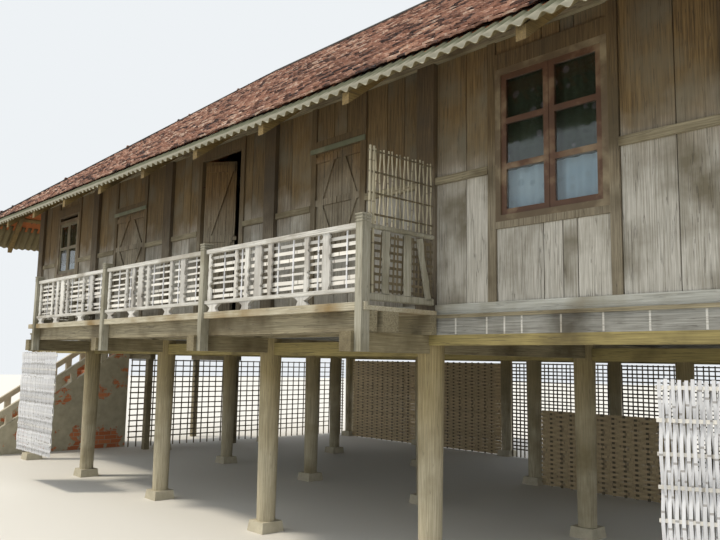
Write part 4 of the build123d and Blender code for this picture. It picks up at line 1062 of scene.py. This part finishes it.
# %% [markdown]
# Over the right end stands a light screen: thin sticks tied in zigzag between cross poles, two thicker
# poles at its front edge. Each stick is the same swaying lath again, leaning one way at one cross pole
# and the other way at the next, and its neighbour does the opposite. A pole or a cane is a cone with few
# sides and a slight taper.

# %% Stick screen
screen_x = rail_posts[-1]
screen_low, screen_high = top_rail[1], 3.170
screen_spacing = 0.155
stick_count, stick_pitch, stick_start = 15, 0.0425, 0.075
stick_width, stick_thickness, stick_sway, stick_lean = 0.009, 0.007, 0.006, 0.011
front_pole_places, front_pole_foot = (0.012, 0.048), 2.1
cross_pole_foot, cross_pole_head, highest_cross = 0.008, 0.006, 0.035
screen_poles, screen_sticks = Pile(), Pile()
cross_levels = [screen_high - highest_cross - k * screen_spacing for k in range(4)]


def cane(length, foot_radius, head_radius, sides=8):
    """A tapered cane or pole standing on the origin."""
    shape = bmesh.new()
    bmesh.ops.create_cone(shape, cap_ends=True, segments=sides, radius1=foot_radius, radius2=head_radius,
                          depth=length, matrix=Matrix.Translation((0, 0, length / 2)))
    return kept(shape)


for k in range(stick_count):
    hand = 1 if k % 2 else -1
    stick = swaying_lath(screen_high - screen_low, stick_width, stick_thickness, screen_spacing,
                         stick_sway * hand, lean=stick_lean * hand, first=cross_levels[0] - screen_low)
    y = end_start + stick_start + k * stick_pitch
    foot = screen_low - chance.uniform(0, 0.02)
    screen_sticks.add(stick, Matrix.Translation((screen_x, y, foot)) @ quarter_turn)
for level in cross_levels:
    pole = cane(end_length, cross_pole_foot, cross_pole_head, sides=6)
    screen_poles.add(pole, Matrix.Translation((screen_x, end_start, level)) @ quarter_turn @ lay_down, 0.2)
for offset in front_pole_places:
    pole = cane(screen_high - front_pole_foot, 0.012, 0.009)
    screen_sticks.add(pole, Matrix.Translation((screen_x + 0.004, end_start + offset, front_pole_foot)), 0.3)
finished("screen_sticks", screen_sticks.settled(), screen_bamboo)
finished("screen_cross_poles", screen_poles.settled(), old_bamboo)

# %% [markdown]
# ## Small trims
# The floor girder right of the porch has narrow pale fillets over its joints, and the two pairs of
# shutters have a green-painted board over them. Both are thin bars with eased edges.

# %% Fillets on the girder and boards over the shutters
fillet_offsets = (0.325, 0.610, 0.763, 0.906, 1.210, 1.510, 1.810, 2.140)
fillet_half, fillet_sunk, fillet_proud = 0.007, 0.003, 0.002
girder_face, girder_low, girder_high = front - 0.095, 1.832, 1.953
head_board_height = 0.046
head_board_front, head_board_back = front - 0.078, front - 0.063
head_boards = ((-2.225, 0.46, 3.505), (1.930, 0.375, 3.545))
fillets, over_boards = Pile(), Pile()
for offset in fillet_offsets:
    x = column_x[4] + offset
    fillets.box((x - fillet_half, girder_face - fillet_sunk, girder_low),
                (x + fillet_half, girder_face + fillet_proud, girder_high), ease=0.001)
for middle, half_width, bottom in head_boards:
    over_boards.box((middle - half_width, head_board_front, bottom),
                    (middle + half_width, head_board_back, bottom + head_board_height), ease=0.003)
finished("girder_fillets", fillets.settled(), rail_timber)
finished("shutter_head_boards", over_boards.settled(), green_paint)

# %% [markdown]
# ## Wattle walls
# Strips of split bamboo about 30 mm high are woven round upright stakes every 150 mm. Each row bends
# the other way round the stakes, so the wall looks quilted. The same swaying lath serves, laid on its
# side. Shade is painted into each strip: its tone follows how far it stands out, darker where it dips
# behind a stake.

# %% Wattle walls
strip_height, strip_overlap, lowest_strip = 0.030, 0.001, 0.01
wattle_thickness, wattle_tip = 0.003, 0.0008
strip_sway = 0.012
stake_spacing = 0.150
stake_width, stake_depth = 0.036, 0.008
post_clearance = 0.115
wattle_top, half_wall_top = 1.64, 1.005
own_tone, painted_depth_shade = 0.45, 0.6


def wattle_wall(strips, stakes, start, end, y, top):
    """One woven bay between two posts."""
    length = end - start
    strip = swaying_lath(length, strip_height + strip_overlap, wattle_thickness, stake_spacing, strip_sway)
    row, z = 0, strip_height / 2 + lowest_strip
    while z < top - strip_height / 2:
        turn = Matrix.Scale(-1 if row % 2 else 1, 4, (0, 1, 0))
        tip = Matrix.Rotation(either_way(wattle_tip), 4, "Y")
        strips.add(strip, Matrix.Translation((start, y, z)) @ turn @ tip @ lay_down)
        row += 1
        z += strip_height
    stake = bar((stake_width, stake_depth, top), 0.001)
    for k in range(1, int(length / stake_spacing)):
        stakes.add(stake, Matrix.Translation((start + k * stake_spacing, y, top / 2)))


strip_pile, stake_pile = Pile(), Pile()
for first, last in ((column_x[0], column_x[1]), (column_x[1], column_x[2])):
    wattle_wall(strip_pile, stake_pile, first + post_clearance, last - post_clearance, back, wattle_top)
wattle_wall(strip_pile, stake_pile, column_x[3] + post_clearance, column_x[4] - post_clearance,
            row_y[2], half_wall_top)
strips = strip_pile.settled()
bmesh.ops.recalc_face_normals(strips, faces=strips.faces[:])
tone_layer = strips.verts.layers.float["tone"]
# Painted shade: each strip is darker where it dips back behind a stake and lighter where it stands out.
for vertex in strips.verts:
    line = back if vertex.co.y > (back + row_y[2]) / 2 else row_y[2]
    painted_shade_stand_out = 0.5 + (line - vertex.co.y) / (2 * strip_sway)
    vertex[tone_layer] = own_tone * vertex[tone_layer] + painted_depth_shade * painted_shade_stand_out
wattle = finished("wattle_strips", strips, wattle_bamboo)
finished("wattle_stakes", stake_pile.settled(), old_bamboo)
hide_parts("wattle_walls")

# %% [markdown]
# ## Open fences of bamboo canes
# The back and the ends of the space under the floor are closed by canes: uprights with thinner rails
# tied to one side. At the back the uprights stand every 85 mm with a rail every 62 mm, and at the ends
# they are wider apart.

# %% Cane fences
fence_top = 1.640
end_fence_top = 1.588
fence_end, back_fence_end = -6.025, -5.490
back_every, back_rail_every = 0.085, 0.062
end_every, end_rail_every = 0.15, 0.1
cane_foot, cane_head = 0.013, 0.010
rail_cane_foot, rail_cane_head = 0.012, 0.009
lowest_rail, highest_rail = 0.1, 0.012
cane_tip, rail_play = 0.006, 0.01
cane_half = 0.012
left_fence = (fence_end, -1.47), (fence_end, back - 0.03)


def cane_fence(uprights, rails, start, end, top, every=end_every, rail_every=end_rail_every):
    """Canes between two points on the ground, with rails on the left of the way from start to end."""
    run = Vector(end) - Vector(start)
    length = run.length
    turn = Matrix.Rotation(math.atan2(run.y, run.x), 4, "Z")
    base = Matrix.Translation((*start, 0)) @ turn
    count = round(length / every)
    for k in range(count + 1):
        sway = Matrix.Rotation(either_way(cane_tip), 4, "Y")
        x = cane_half + k * (length - 2 * cane_half) / count
        uprights.add(cane(top, cane_foot, cane_head), base @ Matrix.Translation((x, 0, 0)) @ sway)
    z = top - highest_rail
    while z > lowest_rail:
        level = Matrix.Translation((0, cane_half, z + chance.uniform(-rail_play, 0.0)))
        rails.add(cane(length, rail_cane_foot, rail_cane_head), base @ level @ lay_down)
        z -= rail_every


upright_canes, rail_canes = Pile(), Pile()
back_bays = [(fence_end, back_fence_end), *zip(column_x[2:-1], column_x[3:])]
for first, last in back_bays:
    cane_fence(upright_canes, rail_canes, (first + post_clearance, back), (last - post_clearance, back),
               fence_top, back_every, back_rail_every)
cane_fence(upright_canes, rail_canes, *left_fence, end_fence_top)
for first, last in zip(row_y[:-1], row_y[1:]):
    cane_fence(upright_canes, rail_canes, (column_x[-1], first + post_clearance),
               (column_x[-1], last - post_clearance), end_fence_top)
fences = finished("fence_canes", upright_canes.settled(), old_bamboo)
finished("fence_rails", rail_canes.settled(), old_rails)
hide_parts("back_fence", "end_fences")

# %% [markdown]
# ## Curtains
# Behind each window hangs thin cotton lace with round flowers. Above, it is dark with painted shade: the
# dark room behind it. Below, it is pale blue with a painted reflection of the sky in the glass. Lace is
# matt and has no sheen. A curtain is a fine grid pushed into folds, and its flat width is the length of
# the folded line. Cloth simulation would find nearly the same folds for a sheet that hangs still from a rod.

# %% Curtain cloth
flower_spacing = 0.11
mesh_per_metre = 42.0
painted_reflection_below = 3.02
folds, fold_depth, segments = 7, 0.010, 84
curtain_gap = 0.030


def lace():
    """Lace cloth with round flowers: dark above with painted shade, pale blue below with a painted sky
    reflection.
    """
    finish, tree, shader, place = start_finish("lace_cloth", 0.95)
    along, height = wall_run(tree, place)
    flat = add_node(tree, "CombineXYZ", {0: along, 1: height}).outputs[0]
    cells = add_node(tree, "TexVoronoi", {"Vector": flat, "Scale": 1 / flower_spacing, "Randomness": 0.6})
    flower = add_node(tree, "MapRange", {0: cells.outputs["Distance"], 1: 0.30, 2: 0.18}).outputs[0]
    mesh_noise = add_node(tree, "TexNoise", {"Vector": flat, "Scale": mesh_per_metre,
                                             "Detail": 4.0}).outputs[0]
    # Painted shade: in the upper part the lace and its flowers are dark, as the room behind it is.
    ground = add_node(tree, "Mix", {0: mesh_noise, 6: paint("#131a14"), 7: paint("#4c5a48")},
                      data_type="RGBA")
    bloom = add_node(tree, "Mix", {0: mesh_noise, 6: paint("#4f4a4c"), 7: paint("#8a8488")}, data_type="RGBA")
    upper = add_node(tree, "Mix", {0: flower, 6: ground.outputs[2], 7: bloom.outputs[2]}, data_type="RGBA")
    slow = add_node(tree, "TexNoise", {"Vector": flat, "Scale": 3.0, "Detail": 3.0}).outputs[0]
    # Painted reflection: the lower part is pale blue, the sky as the glass mirrors it.
    painted_sky_reflection = add_node(tree, "Mix", {0: slow, 6: paint("#8fb0cf"), 7: paint("#e6edf2")}, data_type="RGBA")
    lower = add_node(tree, "Mix", {0: flower, 6: painted_sky_reflection.outputs[2], 7: paint("#b6c6d6")}, data_type="RGBA")
    low = add_node(tree, "Math", {0: height, 1: painted_reflection_below}, operation="LESS_THAN").outputs[0]
    body = add_node(tree, "Mix", {0: low, 6: upper.outputs[2], 7: lower.outputs[2]},
                    data_type="RGBA").outputs[2]
    tree.links.new(body, shader.inputs["Base Color"])
    return finish


lace_cloth = lace()


def curtain(name, middle, bottom, top, width, wall="front"):
    """A gathered curtain just inside a window of the front or the right wall."""
    shape = bmesh.new()
    bmesh.ops.create_grid(shape, x_segments=segments, y_segments=8, size=0.5,
                          matrix=stand_up @ Matrix.Diagonal((width, top - bottom, 1, 1)))
    for vertex in shape.verts:
        vertex.co.y += fold_depth * math.sin(2 * math.pi * folds * vertex.co.x / width)
    if wall == "front":
        place = Matrix.Translation((middle, front + curtain_gap, (bottom + top) / 2))
    else:
        place = Matrix.Translation((column_x[-1] - curtain_gap, middle, (bottom + top) / 2)) @ quarter_turn
    bmesh.ops.transform(shape, matrix=place, verts=shape.verts[:])
    cloth = finished(name, shape, lace_cloth, smooth=True)
    return cloth


curtain("curtain_big_window", 4.135, 2.66, 3.76, 0.87)
curtain("curtain_small_window", -4.325, 2.86, 3.68, 0.74)
curtain("curtain_end_window", 0.0, 2.66, 3.76, 0.87, wall="right")

# %% [markdown]
# ## Light and ground
# The sky is an even soft light from all round, and one large soft lamp stands in for a high hazy sun
# over the front left. The level is plain: a surface that faces the sky shows about the colour it was
# given. The camera, gloss and glass see the sky at a fixed strength, whatever its light does.

# %% Sky, sun and floor
world = bpy.data.worlds.new("soft_sky")
scene.world = world
world.use_nodes = True
sky_tree = world.node_tree
sky_shader = sky_tree.nodes["Background"]
sky_shader.inputs["Color"].default_value = paint("#f1f5fa")
sky_shader.inputs["Strength"].default_value = 1.0
seen = sky_tree.nodes.new("ShaderNodeBackground")
seen.inputs["Color"].default_value = paint("#eef2f5")
rays = sky_tree.nodes.new("ShaderNodeLightPath")
camera_or_gloss = add_node(sky_tree, "Math", {0: rays.outputs["Is Camera Ray"],
                                              1: rays.outputs["Is Glossy Ray"]},
                           operation="MAXIMUM").outputs[0]
any_seen = add_node(sky_tree, "Math", {0: camera_or_gloss, 1: rays.outputs["Is Transmission Ray"]},
                    operation="MAXIMUM").outputs[0]
mixed_sky = add_node(sky_tree, "MixShader",
                     {0: any_seen, 1: sky_shader.outputs[0], 2: seen.outputs[0]}).outputs[0]
sky_tree.links.new(mixed_sky, sky_tree.nodes["World Output"].inputs["Surface"])

sun = bpy.data.objects.new("hazy_sun", bpy.data.lights.new("hazy_sun", "SUN"))
sun.data.energy = 2.2
sun.data.color = paint("#fff4e2")[:3]
sun.data.angle = math.radians(9)
sun_from = Vector((-0.30, -0.44, 0.86)).normalized()
sun.matrix_world = sun_from.to_track_quat("Z", "Y").to_matrix().to_4x4()
scene.collection.objects.link(sun)

floor_shape = bmesh.new()
bmesh.ops.create_circle(floor_shape, cap_ends=True, segments=64, radius=60)
floor_mesh = bpy.data.meshes.new("floor")
floor_shape.to_mesh(floor_mesh)
floor_shape.free()
floor = bpy.data.objects.new("floor", floor_mesh)
scene.collection.objects.link(floor)
floor_finish, _, floor_shader, _ = start_finish("pale_floor", 0.95)
floor_shader.inputs["Base Color"].default_value = paint("#dcdad3")
floor_mesh.materials.append(floor_finish)
print("sun from", sun_from[:])
